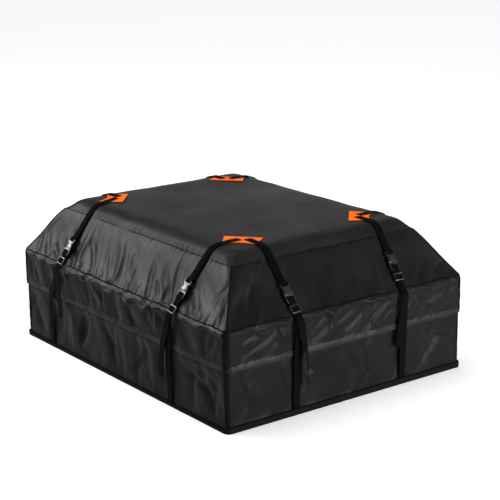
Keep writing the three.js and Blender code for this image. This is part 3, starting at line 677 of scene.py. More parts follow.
slopePiece = {
    "columns": 240,
    "rows": 54,
    "lean": (0.7, -0.3, 0.2, 0.2),
    "foot": 0.0015,
    "length": 210,
    "thickness": 1.0,
    "foldDepth": 8.0,
    "broad": {"seed": 51.7, "step": 6.1, "pitch": 95, "stretch": 3.4},
    "dense": {"seed": 71.2, "step": 3.3, "pitch": 38, "stretch": 3.0},
    "foldLean": (0.8, 0.25, 0.25, 0.25),
    "creaseShare": (1, 0.62, 0.62, 0.62),
    "hanging": [
        {"seed": 61, "count": (15, 8), "heights": (296, 440), "slant": [(-120, -30)] + 3 * [(-30, 30)],
         "width": (12, 24), "depth": (3, 6.5), "length": (0.7, 1.0), "peak": 0.25},
        {"seed": 81, "count": (36, 20), "heights": (294, 340), "slant": [(-28, -4)] + 3 * [(-12, 12)],
         "width": (5, 9), "depth": (1.5, 3.5), "length": (0.5, 1.0), "peak": 0.2},
    ],
    "creases": [
        [(-372, 301, -415, 345, 9, 6), (-225, 300, -275, 385, 12, -6), (62, 300, 8, 390, 12, 5),
         (205, 300, 165, 352, 9, 5), (246, 302, 214, 345, 8, 5), (505, 425, 455, 330, 12, 5),
         (535, 300, 490, 372, 12, 6)],
        [(-420, 300, -330, 400, 18, 6), (-345, 300, -290, 420, 18, 7), (300, 300, 420, 345, 14, 6),
         (260, 300, 330, 380, 14, 5)],
        [(-300, 300, -260, 390, 18, 6), (120, 300, 160, 390, 18, 6)],
        [(-180, 300, -140, 390, 18, 6), (120, 300, 90, 390, 18, 6)],
    ],
}
slopeLines = foldLines(slopePiece)


def slopeFolds(side, x, climb, place):
    z = wallHeight + lidRise * climb
    low = 1 - climb / seamClimb
    swell = math.sin(math.pi * min(1, low) ** 1.35) if low > 0 else 0.0
    lean = slopePiece["foldLean"][side]
    broad = foldField(side, x, z, slopePiece["broad"], lean)
    dense = foldField(side, x, z, slopePiece["dense"], lean * 0.7)
    depth = slopePiece["foldDepth"] * (0.7 * broad * swell + 0.42 * dense * (swell * low ** 0.8))
    depth += 1.5 * puckers(x, slopePiece["length"] * climb, 8.8 + side, 21, 16)
    depth += 2.4 * puckers(x, slopePiece["length"] * (seamClimb - climb), 9.9 + side, 26, 16)
    depth += 1.2 + creases(x, z, slopeLines[side]) * slopePiece["creaseShare"][side]
    strapNear = underStraps(side, x, z, 28)
    return max(-2.5 * (1 - strapNear), depth * (1 - 0.6 * strapNear)) * fadeAtCorners(place)


def slopePoint(side, place, w):
    climb = mixed(slopePiece["foot"], seamClimb, w)
    x, y, *normal = lidOutline(side, place, climb)
    z = wallHeight + lidRise * climb
    return sunkIn(side, x, y, z, normal, slopeAngle(side), slopeFolds(side, x, climb, place))


for side, sideName in enumerate(sideNames):
    _, _, inset, endInset = sideSizes(side)
    height = math.hypot(inset, lidRise) * seamClimb
    slope = sideGrid("slopeCloth_" + sideName, side, slopePiece, slopePoint, height)
    thickened(slope, slopePiece["thickness"])
    dressed(slope, slopeCloth, "bag", ["lid_slope_" + sideName])
    size = clothSizeOf(side, height)
print("stage: slopes made")


# Lid top: one panel that rounds over its edge down to the seam on the slopes

topPiece = {
    "columns": 200,
    "rows": 170,
    "thickness": 1.0,
    "flatShare": 0.7,
    "bendEnd": 0.96,
    "flat": (0.93, 0.716),
    "area": 0.655,
}


def topCorner():
    return bagShape["length"] / 2 - bagShape["insetShort"], bagShape["width"] / 2 - bagShape["insetLong"]


def topHeight(x, y):
    cornerX, cornerY = topCorner()
    acrossX, acrossY = min(1, abs(x) / cornerX), min(1, abs(y) / cornerY)
    return lidHeight + bagShape["crown"] * (1 - acrossX**2) * (1 - acrossY**2)


# Where a point of the square grid lies: its side, its place along it and its ring level,
# which is even over the flat and closer together over the rounded edge
def ringPlace(u, w):
    a, b = 2 * u - 1, 2 * w - 1
    reach = max(abs(a), abs(b))
    if abs(b) >= abs(a):
        side = 0 if b < 0 else 2
    else:
        side = 1 if a > 0 else 3
    t = (a, b, -a, -b)[side] / reach if reach > 1e-9 else 0.0
    level = placeAt((reach + 1) / 2, topPiece["flatShare"])
    return side, placeAt((t + 1) / 2), level


def topFolds(side, x, y, level, place, height):
    down = max(0.0, lidHeight - height)
    depth = 2.6 * puckers(x, max(0, seamDrop - down), 9.9 + side, 26, 15)
    wobble = noiseAt(x / 85, y / 120, 4.4 + side * 3)
    depth += (1.6 + 2.4 * wobble) * smoothStep(level, 0.80, 0.95)
    return depth * fadeAtCorners(place) * (1 - 0.9 * underStraps(side, x, lidHeight, 32))


def topPoint(u, w):
    side, place, level = ringPlace(u, w)
    halfLength, halfDepth, inset, endInset = sideSizes(side)
    angle, bendRadius, bendEnd = slopeAngle(side), edgeBendRadius(side), topPiece["bendEnd"]
    if level > bendEnd + 0.0001:
        share = (level - bendEnd) / (1 - bendEnd)
        run = edgeRun - bendRadius * math.sin(angle)
        startX, startY, *normal = outlinePoint(halfLength - endInset - run, halfDepth - inset - run,
                                               bagShape["lidRadius"], place)
        endX, endY, *normal = lidOutline(side, place, seamClimb)
        x, y = mixed(startX, endX, share), mixed(startY, endY, share)
        startZ = lidHeight - bendRadius * (1 - math.cos(angle))
        z = mixed(startZ, lidHeight - seamDrop + 0.3, share)
        tilt = angle
    else:
        tilt = angle * min(1, max(0, (level - straightShare) / (bendEnd - straightShare)))
        run = edgeRun - bendRadius * math.sin(tilt)
        share = min(1, level / straightShare)
        x, y, *normal = outlinePoint((halfLength - endInset - run) * share, (halfDepth - inset - run) * share,
                                     max(0.01, bagShape["lidRadius"] * share), place)
        z = lidHeight - bendRadius * (1 - math.cos(tilt))
    at = sunkIn(side, x, y, z, normal, tilt, topFolds(side, x, y, level, place, z))
    if level <= straightShare:
        at.z += (topHeight(at.x * 1000, at.y * 1000) - lidHeight) / 1000
        sag = noiseAt(at.x * 2.6, at.y * 3.1, 2.2) + 0.4 * noise.noise(at * 9)
        at.z -= 0.0016 * (1 + sag) * (1 - smoothStep(level, 0.6, straightShare))
    return at


lidTop = clothGrid("topCloth", topPiece["columns"], topPiece["rows"], topPoint, topPiece["flat"])
welded(lidTop, 0.00002)
thickened(lidTop, topPiece["thickness"])
dressed(lidTop, topCloth, "bag", ["lid_top"])
print("stage: lid top made")


# Storm flap: hangs from the seam under the slopes, over the zip, to a doubled hem. Its lip is
# the long slopes' cloth turned down over the flap's top and gathered by the seam. Each droop
# of the lip has a place, a spread and a drop.

flapPiece = {
    "cloth": {"columns": 250, "rows": 34, "lean": (0.35, -1.1, 0.5, -0.5), "thickness": 1.0, "angle": 60},
    "hem": {"columns": 250, "rows": 5, "lean": (0, 0, 0, 0), "thickness": 0.8, "angle": 50},
    "lip": {"columns": 250, "rows": 8, "lean": slopePiece["lean"], "thickness": 0.8, "angle": 50},
    "standoff": 2.4,
    "seamGap": 1.3,
    "topGap": 1.0,
    "lipGap": 1.2,
    "hemBand": 15,
    "hemProud": (0.5, 1.1, 0.9, 0.7),
    "lipProud": (10, 6, 6, 7),
    "lipReach": 15,
    "lipHeight": 18,
    "lipWaves": {"seed": 88.1, "step": 5.3, "pitch": 46, "stretch": 4.0},
    "broad": {"seed": 61.4, "step": 2.9, "pitch": 105, "stretch": 2.2},
    "fine": {"seed": 21.4, "step": 2.9, "pitch": 36, "stretch": 2.4},
    "droops": [
        [(-302, 20, 24), (-170, 26, 10), (-40, 30, 12), (60, 24, 14), (150, 22, 16)],
        [(-330, 30, 12), (-60, 30, 14), (330, 26, 12)],
        [(-120, 26, 14), (160, 30, 12)],
        [(-60, 28, 14), (130, 28, 12)],
    ],
    "hanging": [
        {"seed": 21, "count": (12, 9), "heights": (294, 186), "slant": 4 * [(-70, 70)], "width": (10, 20),
         "depth": (3, 6.5), "length": (0.5, 1.0), "peak": 0.3},
    ],
    "creases": [
        [(-290, 262, -345, 205, 14, 6), (200, 290, 275, 225, 16, 7), (330, 290, 420, 200, 16, 7),
         (-180, 290, -90, 215, 18, 7), (40, 285, 130, 205, 18, 7), (545, 280, 450, 205, 14, 6),
         (-540, 285, -450, 215, 14, 6)],
        [(-425, 205, -260, 282, 11, 6), (-395, 255, -250, 290, 9, 5), (-170, 210, -90, 290, 9, 6),
         (-150, 205, 10, 288, 11, 6), (-60, 205, 70, 284, 10, 5), (30, 205, 165, 284, 10, 6),
         (100, 205, 185, 262, 9, 5), (245, 275, 330, 200, 10, 6), (250, 225, 420, 288, 9, 6),
         (300, 250, 436, 268, 9, 5)],
        [(-200, 285, -100, 210, 16, 6), (60, 285, 160, 210, 16, 6)],
        [(-100, 285, -20, 210, 16, 6), (60, 285, 160, 210, 16, 6)],
    ],
}
flapLines = foldLines(flapPiece)


# How far down the puckered lip reaches under the seam
def lipReachAt(side, x):
    reach = flapPiece["lipReach"] * (0.3 + 1.1 * foldField(side, x, 0, flapPiece["lipWaves"]))
    return reach + sum(drop * bell(x, at, spread) for at, spread, drop in flapPiece["droops"][side])


def flapOffset(side, x, z, place):
    down = wallHeight - flapPiece["seamGap"] - z
    fade = fadeAtCorners(place)
    strapNear = underStraps(side, x, z, 30)
    free = 1 - 0.85 * strapNear
    reach = lipReachAt(side, x)
    lip = flapPiece["lipProud"][side] * (0.3 + 0.9 * foldField(side, x, 0, flapPiece["lipWaves"]))
    lip *= smoothStep(down, 0.5, 0.8 * reach) * (1 - smoothStep(down, reach, 1.3 * reach + 5))
    hang = smoothStep(down, 10, 60)
    swell = 5.0 * (foldField(side, x, z, flapPiece["broad"], 0.4) - 0.35) * hang
    fine = 1.2 * (foldField(side, x, z, flapPiece["fine"], -0.4) - 0.4) * smoothStep(down, 4, 20)
    offset = flapPiece["standoff"] - 2.4 * math.exp(-down / 7)
    offset += (lip + swell + fine) * free * fade
    offset += 1.5 * hang * free - creases(x, z, flapLines[side]) * 0.75 * free * fade
    offset -= 0.8 * puckers(x, abs(z - hemHeight - flapPiece["hemBand"]), 15.5 + side, 27, 9)
    offset += 2.4 * (1 - smoothStep(z - hemHeight, 0, 24)) * (1 - strapNear) * fade
    offset -= 1.2 * strapNear * smoothStep(down, 6, 30)
    return max(offset, 1.2 - 2.0 * math.exp(-down / 4))


def hemRipple(side, x, place):
    return 1.4 * noiseAt(x / 60, side * 7.0, 0.4) * fadeAtCorners(place)


def flapPoint(side, place, w):
    z = mixed(hemHeight, wallHeight - flapPiece["topGap"], w)
    x = alongWall(side, place)
    ripple = hemRipple(side, x, place) * (1 - smoothStep(z - hemHeight, 0, 60))
    return onWall(side, place, flapOffset(side, x, z, place), z + ripple)


# The hem is the flap's lower edge turned up and sewn double, a little proud; its cloth is painted paler, as
# painted light on the band
def hemPoint(side, place, w):
    z = mixed(hemHeight - 0.6, hemHeight + flapPiece["hemBand"], w)
    x = alongWall(side, place)
    offset = flapOffset(side, x, max(z, hemHeight), place) + flapPiece["hemProud"][side] * (1.15 - 0.3 * w)
    return onWall(side, place, offset, z + hemRipple(side, x, place))


def lipPoint(side, place, w):
    x = alongWall(side, place)
    near = underStraps(side, x, wallHeight, 30)
    reach = mixed(lipReachAt(side, x), 5, max(near, abs(place) ** 8))
    uneven = 1 + 0.25 * noiseAt(x / 9, side * 3.0, 2.6)
    z = wallHeight - flapPiece["lipGap"] - reach * uneven * (1 - w)
    return onWall(side, place, flapOffset(side, x, z, place) + 0.3 + 0.6 * math.sin(math.pi * w), z)


for name, sides, pointOn, height, material, nodes in (
    ("cloth", range(4), flapPoint, bagShape["flapDrop"], wallCloth, ["storm_flap"]),
    ("hem", range(4), hemPoint, flapPiece["hemBand"], paintedLightHemCloth, ()),
    ("lip", (0, 2), lipPoint, flapPiece["lipHeight"], slopeCloth, ()),
):
    settings = flapPiece[name]
    layer = ringOfGrids("flap" + name.capitalize(), sides, settings, pointOn, height)
    thickened(layer, settings["thickness"], settings["angle"])
    dressed(layer, material, "bag", nodes)
print("stage: storm flap made")


# Base: binding round its edge and the panel under it

basePiece = {
    "proud": (5.4, 9.4, 9.2, 6.5),
    "cornerProud": 8.0,
    "drawnProud": 9.4,
    "height": (12, 19, 19, 14),
    "cornerHeight": 17,
    "drawnHeight": 19,
    "foot": 12,
    "pocket": 2.6,
    "binding": {"columns": 150, "rows": 12, "lean": (0, 0, 0, 0)},
    "tapeWidth": 70,
    "panelGrid": (90, 70),
    "panelSize": (1.09, 0.86),
    "panelFlat": (1.0934, 0.8614),
    "thickness": 1.0,
}


# Section of the binding from its inner top edge over the outside and under the foot: how far
# out and how high
def bindingSection():
    proud, height, foot, pocket = (basePiece[key] for key in ("drawnProud", "drawnHeight", "foot", "pocket"))
    return [
        (pocket, height - 1.5), (pocket + 1.4, height), (proud - 3, height), (proud - 1.2, height - 0.8),
        (proud - 0.3, height - 3), (proud, height * 0.6), (proud - 0.3, 3.2), (proud - 1.2, 0.9),
        (proud - 3, 0), (-foot, 0), (-foot, 2), (pocket - 0.2, 2), (pocket, height - 1.5),
    ]


def bindingPoint(side, place, w):
    offset, z = bindingSection()[int(round((1 - w) * basePiece["binding"]["rows"]))]
    x = alongWall(side, place)
    corner = abs(place) ** 10
    if z > 2.1:
        share = z / basePiece["drawnHeight"]
        high = mixed(basePiece["height"][side], basePiece["cornerHeight"], corner)
        z = high * share + 1.2 * noiseAt(x / 45, side * 5.0, 7.7) * fadeAtCorners(place) * share
    if offset > 3:
        pocket = basePiece["pocket"]
        reach = mixed(basePiece["proud"][side], basePiece["cornerProud"], corner)
        offset = pocket + (offset - pocket) * (reach - pocket) / (basePiece["drawnProud"] - pocket)
        offset += 0.6 * noiseAt(x / 30, side * 3.0, 1.1) * fadeAtCorners(place) - 0.6
    return onWall(side, place, offset, z)


def basePanelPoint(u, w):
    inset = basePiece["foot"] + 0.3
    x = (2 * u - 1) * (bagShape["length"] / 2 - inset)
    y = (2 * w - 1) * (bagShape["width"] / 2 - inset)
    lift = 0.5 + 0.5 * noiseAt(x / 150, y / 150, 3.0)
    return Vector((x, y, 1.2 + 0.8 * lift)) / 1000


tapeWidth = basePiece["tapeWidth"]
binding = ringOfGrids("bindingTape", range(4), basePiece["binding"], bindingPoint, tapeWidth, 0.00005)
smoothed(binding, 50)
dressed(binding, bindingTape, "bag", ["base_binding"])
panel = clothGrid("baseCloth", *basePiece["panelGrid"], basePanelPoint, basePiece["panelSize"])
thickened(panel, basePiece["thickness"])
dressed(panel, baseCloth, "bag", ["base_panel"])
print("stage: base made")


# Seams: round threads and piping that lie in the seams' grooves. Near a strap the wall-top
# seam is tucked in and down, which leaves room for the strap and its slide.

seamPiece = {
    "wallTopRadius": 2.0,
    "wallTopCount": 280,
    "tuckedIn": -2.2,
    "tuckedDown": 3.4,
    "lidRadius": 1.0,
    "lidCount": 160,
    "cornerRadius": 1.8,
    "cornerCount": 24,
    "around": 8,
}


def tubeOnPath(name, points, radius, closed=False):
    last = len(points) - 1
    total = sum((points[i] - points[i - 1]).length for i in range(1, last + 1))

    def pointAt(u, w):
        i = int(round(u * last))
        before, after = ((i - 1) % last, (i + 1) % last) if closed else (max(0, i - 1), min(last, i + 1))
        ahead = (points[after] - points[before]).normalized()
        side = ahead.cross(Vector((0.1, 0.2, 1)).normalized()).normalized()
        turn = -2 * math.pi * w
        return points[i] + (side * math.cos(turn) + side.cross(ahead) * math.sin(turn)) * radius

    piece = clothGrid(name, last, seamPiece["around"], pointAt, (total, 2 * math.pi * radius))
    return welded(piece, 0.00001)


def ringLine(count, pointOn):
    points = [pointOn(side, placeAt(i / count)) for side in range(4) for i in range(count)]
    return points + [points[0].copy()]


def wallTopSeamPoint(side, place):
    x, fade = alongWall(side, place), fadeAtCorners(place)
    sway = noiseAt(x / 14, side * 2.0, 5.5)
    dip = noiseAt(x / 40, side * 2.0, 8.5) + 1.1 * noiseAt(x / 13, side * 2.0, 3.5)
    near = underStraps(side, x, wallHeight, 31)
    offset = mixed(0.4 + 1.6 * sway * fade, seamPiece["tuckedIn"], near)
    drop = mixed(0.8 - 2.0 * dip * fade, seamPiece["tuckedDown"], near)
    return onWall(side, place, offset, wallHeight - drop)


def lidSeamPoint(side, place):
    x, y, nx, ny = lidOutline(side, place, seamClimb)
    fade = fadeAtCorners(place)
    depth = 1.7 + 1.5 * noiseAt(x / 22, side * 2.0, 15.5) * fade
    z = lidHeight - seamDrop + 1.6 * noiseAt(x / 60, side * 2.0, 11.5) * fade
    return inRow(side, x - nx * depth, y - ny * depth, z)


def cornerSeamPoint(side, climb):
    x, y, nx, ny = lidOutline(side, 1, climb)
    return inRow(side, x + 0.5 * nx, y + 0.5 * ny, wallHeight + lidRise * climb)


def makeSeam(name, line, radius, closed=False):
    piece = tubeOnPath(name, line, radius / 1000, closed)
    smoothed(piece, 80)
    dressed(piece, seamThread, "bag")


for seamName, pointOn in (("wallTop", wallTopSeamPoint), ("lid", lidSeamPoint)):
    around = ringLine(seamPiece[seamName + "Count"], pointOn)
    makeSeam(seamName + "Seam", around, seamPiece[seamName + "Radius"], True)
for side in range(4):
    steps = seamPiece["cornerCount"]
    cornerLine = [cornerSeamPoint(side, seamClimb * i / steps) for i in range(steps + 1)]
    makeSeam("cornerSeam_" + sideNames[side], cornerLine, seamPiece["cornerRadius"])
print("stage: seams made")


# Corner strips: a flat dark binding folded round each upright corner of the walls and flap, as painted shade
# of the fold there

cornerShadeStrip = {
    "halfWidth": 7.5,
    "proud": 0.5,
    "foot": 19.5,
    "topGap": 4,
    "grid": (14, 60),
    "size": (0.026, 0.275),
    "thickness": 0.8,
}


def cornerShadeStripPoint(side, u, w):
    z = mixed(cornerShadeStrip["foot"], wallHeight - cornerShadeStrip["topGap"], w)
    across = (2 * u - 1) * cornerShadeStrip["halfWidth"]
    onFlap = smoothStep(z, hemHeight - 4, hemHeight + 2)
    lift = mixed(-wallRecess(0, z), flapPiece["standoff"] + 0.8, onFlap)
    lift += 1.4 * onFlap - 4.4 * math.exp((z - wallHeight) / 6) * onFlap
    lift += cornerShadeStrip["proud"] + 1.3 * noiseAt(across / 20, z / 22, side * 3.0)
    radius = wallRadius + lift
    halfLength, halfDepth, _, _ = sideSizes(side)
    x, y = halfLength - wallRadius, -(halfDepth - wallRadius)
    turn, quarter = across / wallRadius, math.pi / 4
    if abs(turn) <= quarter:
        return inRow(side, x + radius * math.cos(turn - quarter), y + radius * math.sin(turn - quarter), z)
    beyond = (abs(turn) - quarter) * wallRadius
    if turn > 0:
        return inRow(side, x + radius, y + beyond, z)
    return inRow(side, x - beyond, y - radius, z)


for side in range(4):
    tape = clothGrid("cornerShadeStrip_" + sideNames[side], *cornerShadeStrip["grid"],
                     lambda u, w: cornerShadeStripPoint(side, u, w), cornerShadeStrip["size"])
    thickened(tape, cornerShadeStrip["thickness"], offset=1)
    # dark binding tape, as painted shade of the corner's fold
    dressed(tape, bindingTape, "bag")
print("stage: corner tapes made")


# Corner patches: four orange pieces with a hollow outer edge, sewn flat on the lid's top.
# Their inner and outer edges run between points that are given from the top's corner inwards.

patchPiece = {
    "edges": (((156, 82), (64, 163)), ((89, 27), (26, 97))),
    "hollow": 16,
    "hollowAlong": (0.75, 0.66),
    "lift": 1.4,
    "thickness": 1.0,
    "grid": (40, 26),
    "flat": (0.123, 0.088),
    "area": 0.0079,
    "signs": {"front_right": (1, -1), "rear_right": (1, 1), "rear_left": (-1, 1), "front_left": (-1, -1)},
}


def patchPoint(u, w, signs):
    along = u if signs[0] * signs[1] > 0 else 1 - u
    pull = w * patchPiece["hollow"] * (1 - (2 * along - 1) ** 2)
    at = []
    for axis in (0, 1):
        inner, outer = (mixed(start[axis], end[axis], along) for start, end in patchPiece["edges"])
        inwards = mixed(inner, outer, w) + pull * patchPiece["hollowAlong"][axis]
        at.append(signs[axis] * (topCorner()[axis] - inwards))
    x, y = at
    wave = noiseAt(x / 22, y / 22, 6.0)
    return Vector((x, y, topHeight(x, y) + patchPiece["lift"] + 0.4 * wave)) / 1000


def makePatch(name, signs):
    length, depth = patchPiece["flat"]
    piece = clothGrid("patch_" + name, *patchPiece["grid"], lambda u, w: patchPoint(u, w, signs),
                      patchPiece["flat"])
    # distance from the patch's edges, for the painted shade at its turned rim
    edge = piece.data.attributes.new("edgeDistance", "FLOAT", "POINT")
    layer = piece.data.uv_layers.active
    for loop in piece.data.loops:
        u, w = layer.data[loop.index].uv
        edge.data[loop.vertex_index].value = min(u, length - u, w, depth - w)
    thickened(piece, patchPiece["thickness"])
    dressed(piece, orangeCloth, "bag", ["corner_patch_" + name])


for patchName, patchSigns in patchPiece["signs"].items():
    makePatch(patchName, patchSigns)
print("stage: corner patches made")


# Straps: flat webbing that follows the same route as the solid straps. Distances along a
# buckle are measured from its upper end. The places of a tip are for long and short sides.

strapPiece = {
    "width": 25,
    "thickness": 1.4,
    "rows": 6,
    "step": 5.0,
    "bevel": 0.35,
    "height": 2.4,
    "tipIn": (95, 82),
    "tipStops": 6,
    "bendStops": 7,
    "overhang": 18.3,
    "sewn": 26,
    "socketBar": 4,
    "prongLength": 60,
    "middleBar": 47.1,
    "endBar": 55.2,
    "buckleMiddle": 5.4,
    "seat": 110,
    "tailTwist": {"right_front": 0.95, "rear_left": 0.6},
    "twistAway": 9,
}


# A smooth curve through the stops, each a point and the webbing's direction across
def smoothPath(stops, step):
    points = [stop[0] for stop in stops]
    path = []
    last = len(points) - 1
    for i in range(last):
        before, start = points[max(0, i - 1)], points[i]
        end, after = points[i + 1], points[min(last, i + 2)]
        chord = end - start
        span = chord.length
        slopeStart = slopeEnd = chord
        if i > 0:
            slopeStart = ((start - before) * (span / max(1e-6, (start - before).length)) + chord) / 2
        if i < last - 1:
            slopeEnd = ((after - end) * (span / max(1e-6, (after - end).length)) + chord) / 2
        pieces = max(1, int(span / step))
        for k in range(pieces):
            t = k / pieces
            point = (start * (2 * t**3 - 3 * t**2 + 1) + slopeStart * (t**3 - 2 * t**2 + t)
                     + end * (3 * t**2 - 2 * t**3) + slopeEnd * (t**3 - t**2))
            path.append((point, stops[i][1].lerp(stops[i + 1][1], t).normalized()))
    path.append(stops[-1])
    return path


# Webbing along a path, its last end cut at a slant
def ribbon(name, stops, side, cut=0.0):
    path = smoothPath(stops, strapPiece["step"])
    last = len(path) - 1
    half = strapPiece["width"] / 2
    total = sum((path[i][0] - path[i - 1][0]).length for i in range(1, last + 1))

    def pointAt(u, w):
        i = int(round(u * last))
        centre, across = path[i]
        ahead = (path[min(last, i + 1)][0] - path[max(0, i - 1)][0]).normalized()
        share = 2 * w - 1
        point = centre + across * (half * share)
        if cut and i > last - 4:
            point += ahead * (cut * share * (i - (last - 4)) / 4)
        return inRow(side, *point)

    piece = clothGrid(name, last, strapPiece["rows"], pointAt, (total / 1000, strapPiece["width"] / 1000))
    applyModifier(piece, "SOLIDIFY", {"thickness": strapPiece["thickness"] / 1000, "offset": 0})
    bevelled(piece, strapPiece["bevel"], 1, 60)
    smoothed(piece, 45)
    return piece


# Stops of a half turn round a bar, from the low layer to the high one
def turnBack(along, low, high, direction=1, steps=6):
    radius = (high - low) / 2
    turns = [math.pi * i / steps for i in range(steps + 1)]
    return [(along + direction * radius * math.sin(a), low + radius * (1 - math.cos(a))) for a in turns]


def makeStrap(name):
    side, tip, edgeX, buckle, baseX, buckleUp, slideGap, tailEnd, tailDrift = strapTable[name]
    _, halfDepth, inset, _ = sideSizes(side)
    angle, bendRadius = slopeAngle(side), edgeBendRadius(side)
    prongLength, height, thickness = (strapPiece[key] for key in ("prongLength", "height", "thickness"))
    length = math.hypot(inset, lidRise)
    down = Vector((0, -inset / length, -lidRise / length))
    out = Vector((0, -lidRise / length, inset / length))
    buckleFrom = length - buckleUp
    straightEnd = length + strapPiece["overhang"]
    lean = (buckle - edgeX) / (buckleFrom + prongLength / 2)
    downLine = Vector((lean, down.y, down.z)).normalized()
    across = out.cross(downLine)
    buckleEnd = Vector((0, -(halfDepth - inset), lidHeight)) + down * buckleFrom
    buckleEnd.x = edgeX + lean * buckleFrom
    square = Vector((1, 0, 0))
    highLayer = 2 * strapPiece["buckleMiddle"] - height
    sewnLayer = height + thickness + 0.3
    slideLayer = height + 0.2
    tailLayer = slideLayer + thickness + 0.6

    def onSlope(along, lift):
        return buckleEnd + downLine * (along - buckleFrom) + out * lift, across

    def onBuckle(*stops):
        return [onSlope(buckleFrom + along, lift) for along, lift in stops]

    # from the tip on the lid over its edge, down to the socket's bar and back on itself
    upper = []
    topStart = -(halfDepth - inset - strapPiece["tipIn"][side % 2])
    topEnd = -(halfDepth - inset - edgeRun)
    for i in range(strapPiece["tipStops"]):
        share = i / (strapPiece["tipStops"] - 1)
        x, y = mixed(tip, edgeX, share), mixed(topStart, topEnd, share)
        world = inRow(side, x, y, 0) * 1000
        wave = 0.4 * math.sin(share * 9 + tip)
        upper.append((Vector((x, y, topHeight(world.x, world.y) + height + 0.5 + wave)), square))
    for i in range(1, strapPiece["bendStops"] + 1):
        share = i / strapPiece["bendStops"]
        reach = bendRadius + height
        upper.append((Vector((edgeX + lean * edgeRun * share, topEnd - reach * math.sin(angle * share),
                              lidHeight - bendRadius + reach * math.cos(angle * share))), square))
    upper.append(onSlope(mixed(edgeRun, buckleFrom, 0.45), height + 0.6))
    upper += onBuckle((-20, height))
    upper += onBuckle(*turnBack(strapPiece["socketBar"] + 1.7, height, highLayer))
    upper += onBuckle((-1, highLayer), (-9, sewnLayer), (-strapPiece["sewn"], sewnLayer))
    piece = ribbon("upperStrap_" + name, upper, side)
    dressed(piece, strapWebbing, "bag", ["upper_strap_" + name])

    # from the base up to the prong half, round its middle bar and down again to the loose end
    mainTop, tailTop = onSlope(straightEnd, slideLayer)[0], onSlope(straightEnd, tailLayer)[0]
    clear = (straightEnd - length) * (inset / length)
    flapMiddle = mixed(hemHeight, wallHeight, 0.5)
    middleBar, endBar = strapPiece["middleBar"], strapPiece["endBar"]
    twist = strapPiece["tailTwist"].get(name, 0.0)
    away = strapPiece["twistAway"] * math.sin(twist)

    def onSide(x, offset, z, turned=0.0):
        return Vector((x, -(halfDepth + offset), z)), Vector((math.cos(turned), math.sin(turned), 0))

    def onWayDown(share):
        return mixed(mainTop.x, baseX, share)

    def drifted(share):
        return tailTop.x + tailDrift * share

    lower = [
        onSide(baseX, 1.25, 6.3),
        onSide(baseX, 1.9, 25),
        onSide(onWayDown(0.97), 5.5, mixed(19, hemHeight, 0.45)),
        onSide(onWayDown(0.8), 8.8, hemHeight),
        onSide(onWayDown(0.35), clear + 1.6, flapMiddle),
        onSide(onWayDown(0.06), clear + 3.6, mainTop.z - 9),
        (mainTop, across),
        onSlope(straightEnd - 4, slideLayer),
    ]
    lower += onBuckle((prongLength + slideGap - 2, slideLayer), (prongLength - 2, height))
    lower += onBuckle(*turnBack(middleBar - 3.2, height, highLayer, -1))
    lower += onBuckle((middleBar + 3, highLayer), (endBar + 1, height + thickness / 2 + 3.5),
                      (prongLength + 0.5, tailLayer + 1.8), (prongLength + 5, tailLayer))
    lower += [
        onSlope(straightEnd - 4, tailLayer),
        (tailTop, across),
        onSide(drifted(0.06), clear + 7.4, tailTop.z - 12),
        onSide(drifted(0.3), clear + 6.4, flapMiddle),
        onSide(drifted(0.72), clear + 3.4 + away, hemHeight, twist * 0.85),
        onSide(drifted(1), clear + 1.5 + away, tailEnd, twist),
    ]
    piece = ribbon("lowerStrap_" + name, lower, side, 5.0 if tailDrift < 0 else -4.0)
    dressed(piece, strapWebbing, None, ["lower_strap_" + name])
    end = inRow(side, mainTop.x, mainTop.y, mainTop.z - 8)
    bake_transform(piece)


for strapName in strapTable:
    makeStrap(strapName)
print("stage: straps made")


# Buckles, slides and zip runner: the solid parts with their moulded edges rounded

mouldedEdge = {
    "buckle": 0.45,
    "zip": 0.3,
    "tape": 0.15,
    "segments": 2,
    "angle": 35,
}


def roundedCopy(node, name, material, body, radius):
    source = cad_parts[node]
    piece = source.copy()
    piece.data = source.data.copy()
    piece.name = name
    piece.parent = None
    for key in list(piece.keys()):
        del piece[key]
    bpy.context.scene.collection.objects.link(piece)
    welded(piece, 0.00001, 1)
    bevelled(piece, radius, mouldedEdge["segments"], mouldedEdge["angle"])
    smoothed(piece, 40)
    dressed(piece, material, body, [node])


for strapName in strapTable:
    for solid in ("buckle_socket_", "buckle_prong_", "strap_slide_"):
        part = solid.split("_")[1] + "_" + strapName
        body = "bag" if solid == "buckle_socket_" else part
        roundedCopy(solid + strapName, part, blackAcetal, body, mouldedEdge["buckle"])
roundedCopy("zip_slider", "zipSlider", zincLacquer, "zip_runner", mouldedEdge["zip"])
roundedCopy("zip_puller", "zipPuller", zincLacquer, "zip_pull", mouldedEdge["zip"])
for place in ("lower", "upper"):
    roundedCopy("zip_tape_" + place, "zipTape_" + place, bindingTape, "bag", mouldedEdge["tape"])
print("stage: buckles and zip made")


# Studio: pale floor, soft lights, pale surroundings

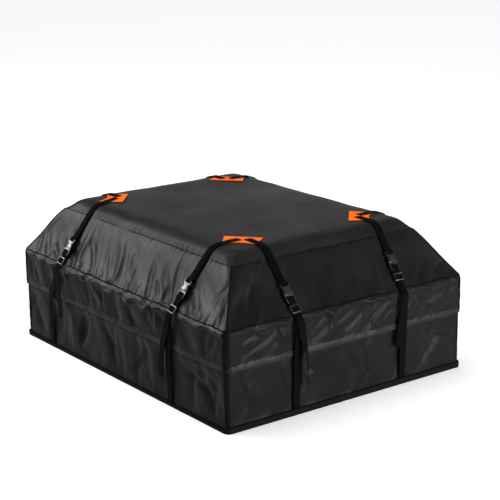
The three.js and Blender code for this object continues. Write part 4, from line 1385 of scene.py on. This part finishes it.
studio = {
    "floorSize": 90,
    "lightsAim": (0, 0, 0.25),
    "sun": {"from": (-0.47, -0.3, 1.0), "angle": 66, "strength": 1.72},
    "key": {"place": (-4.0, -2.6, 2.7), "size": 2.2, "power": 126},
    "rear": {"place": (-4.0, 3.0, 1.8), "size": 3.0, "power": 8},
    "fill": {"place": (4.6, 1.7, 0.5), "size": 1.8, "power": 450},
    "surroundings": 0.1,
    "backdrop": 1.0,
}


def addLight(name, kind, place, aim, settings):
    bpy.ops.object.light_add(type=kind, location=place)
    light = bpy.context.object
    light.name = name
    for key, value in settings.items():
        setattr(light.data, key, value)
    light.rotation_euler = aim.to_track_quat("-Z", "Y").to_euler()


def addLights():
    sun = studio["sun"]
    addLight("overheadLight", "SUN", (0, 0, 5), -Vector(sun["from"]),
             {"energy": sun["strength"], "angle": math.radians(sun["angle"])})
    for name in ("key", "fill", "rear"):
        lamp = studio[name]
        addLight(name + "Light", "AREA", lamp["place"], Vector(studio["lightsAim"]) - Vector(lamp["place"]),
                 {"shape": "SQUARE", "size": lamp["size"], "energy": lamp["power"]})


# Pale backdrop behind the floor, and a dim even light from all round
def setSurroundings():
    world = bpy.context.scene.world or bpy.data.worlds.new("studioWorld")
    bpy.context.scene.world = world
    world.use_nodes = True
    nodes, link = world.node_tree.nodes, world.node_tree.links.new
    choice = nodes.new("ShaderNodeMixShader")
    link(nodes.new("ShaderNodeLightPath").outputs["Is Camera Ray"], choice.inputs[0])
    backgrounds = (nodes["Background"], nodes.new("ShaderNodeBackground"))
    for index, name in enumerate(("surroundings", "backdrop")):
        backgrounds[index].inputs["Color"].default_value = (1, 1, 1, 1)
        backgrounds[index].inputs["Strength"].default_value = studio[name]
        link(backgrounds[index].outputs["Background"], choice.inputs[index + 1])
    link(choice.outputs["Shader"], nodes["World Output"].inputs["Surface"])


def makeStudio():
    pick()
    bpy.ops.mesh.primitive_plane_add(size=studio["floorSize"], location=(0, 0, 0))
    floor = bpy.context.object
    floor.name = "studioFloor"
    floor.data.materials.append(paleBoard("mattWhiteBoard"))
    addLights()
    setSurroundings()
    bpy.context.scene.view_settings.view_transform = "Standard"


makeStudio()
print("stage: studio set")
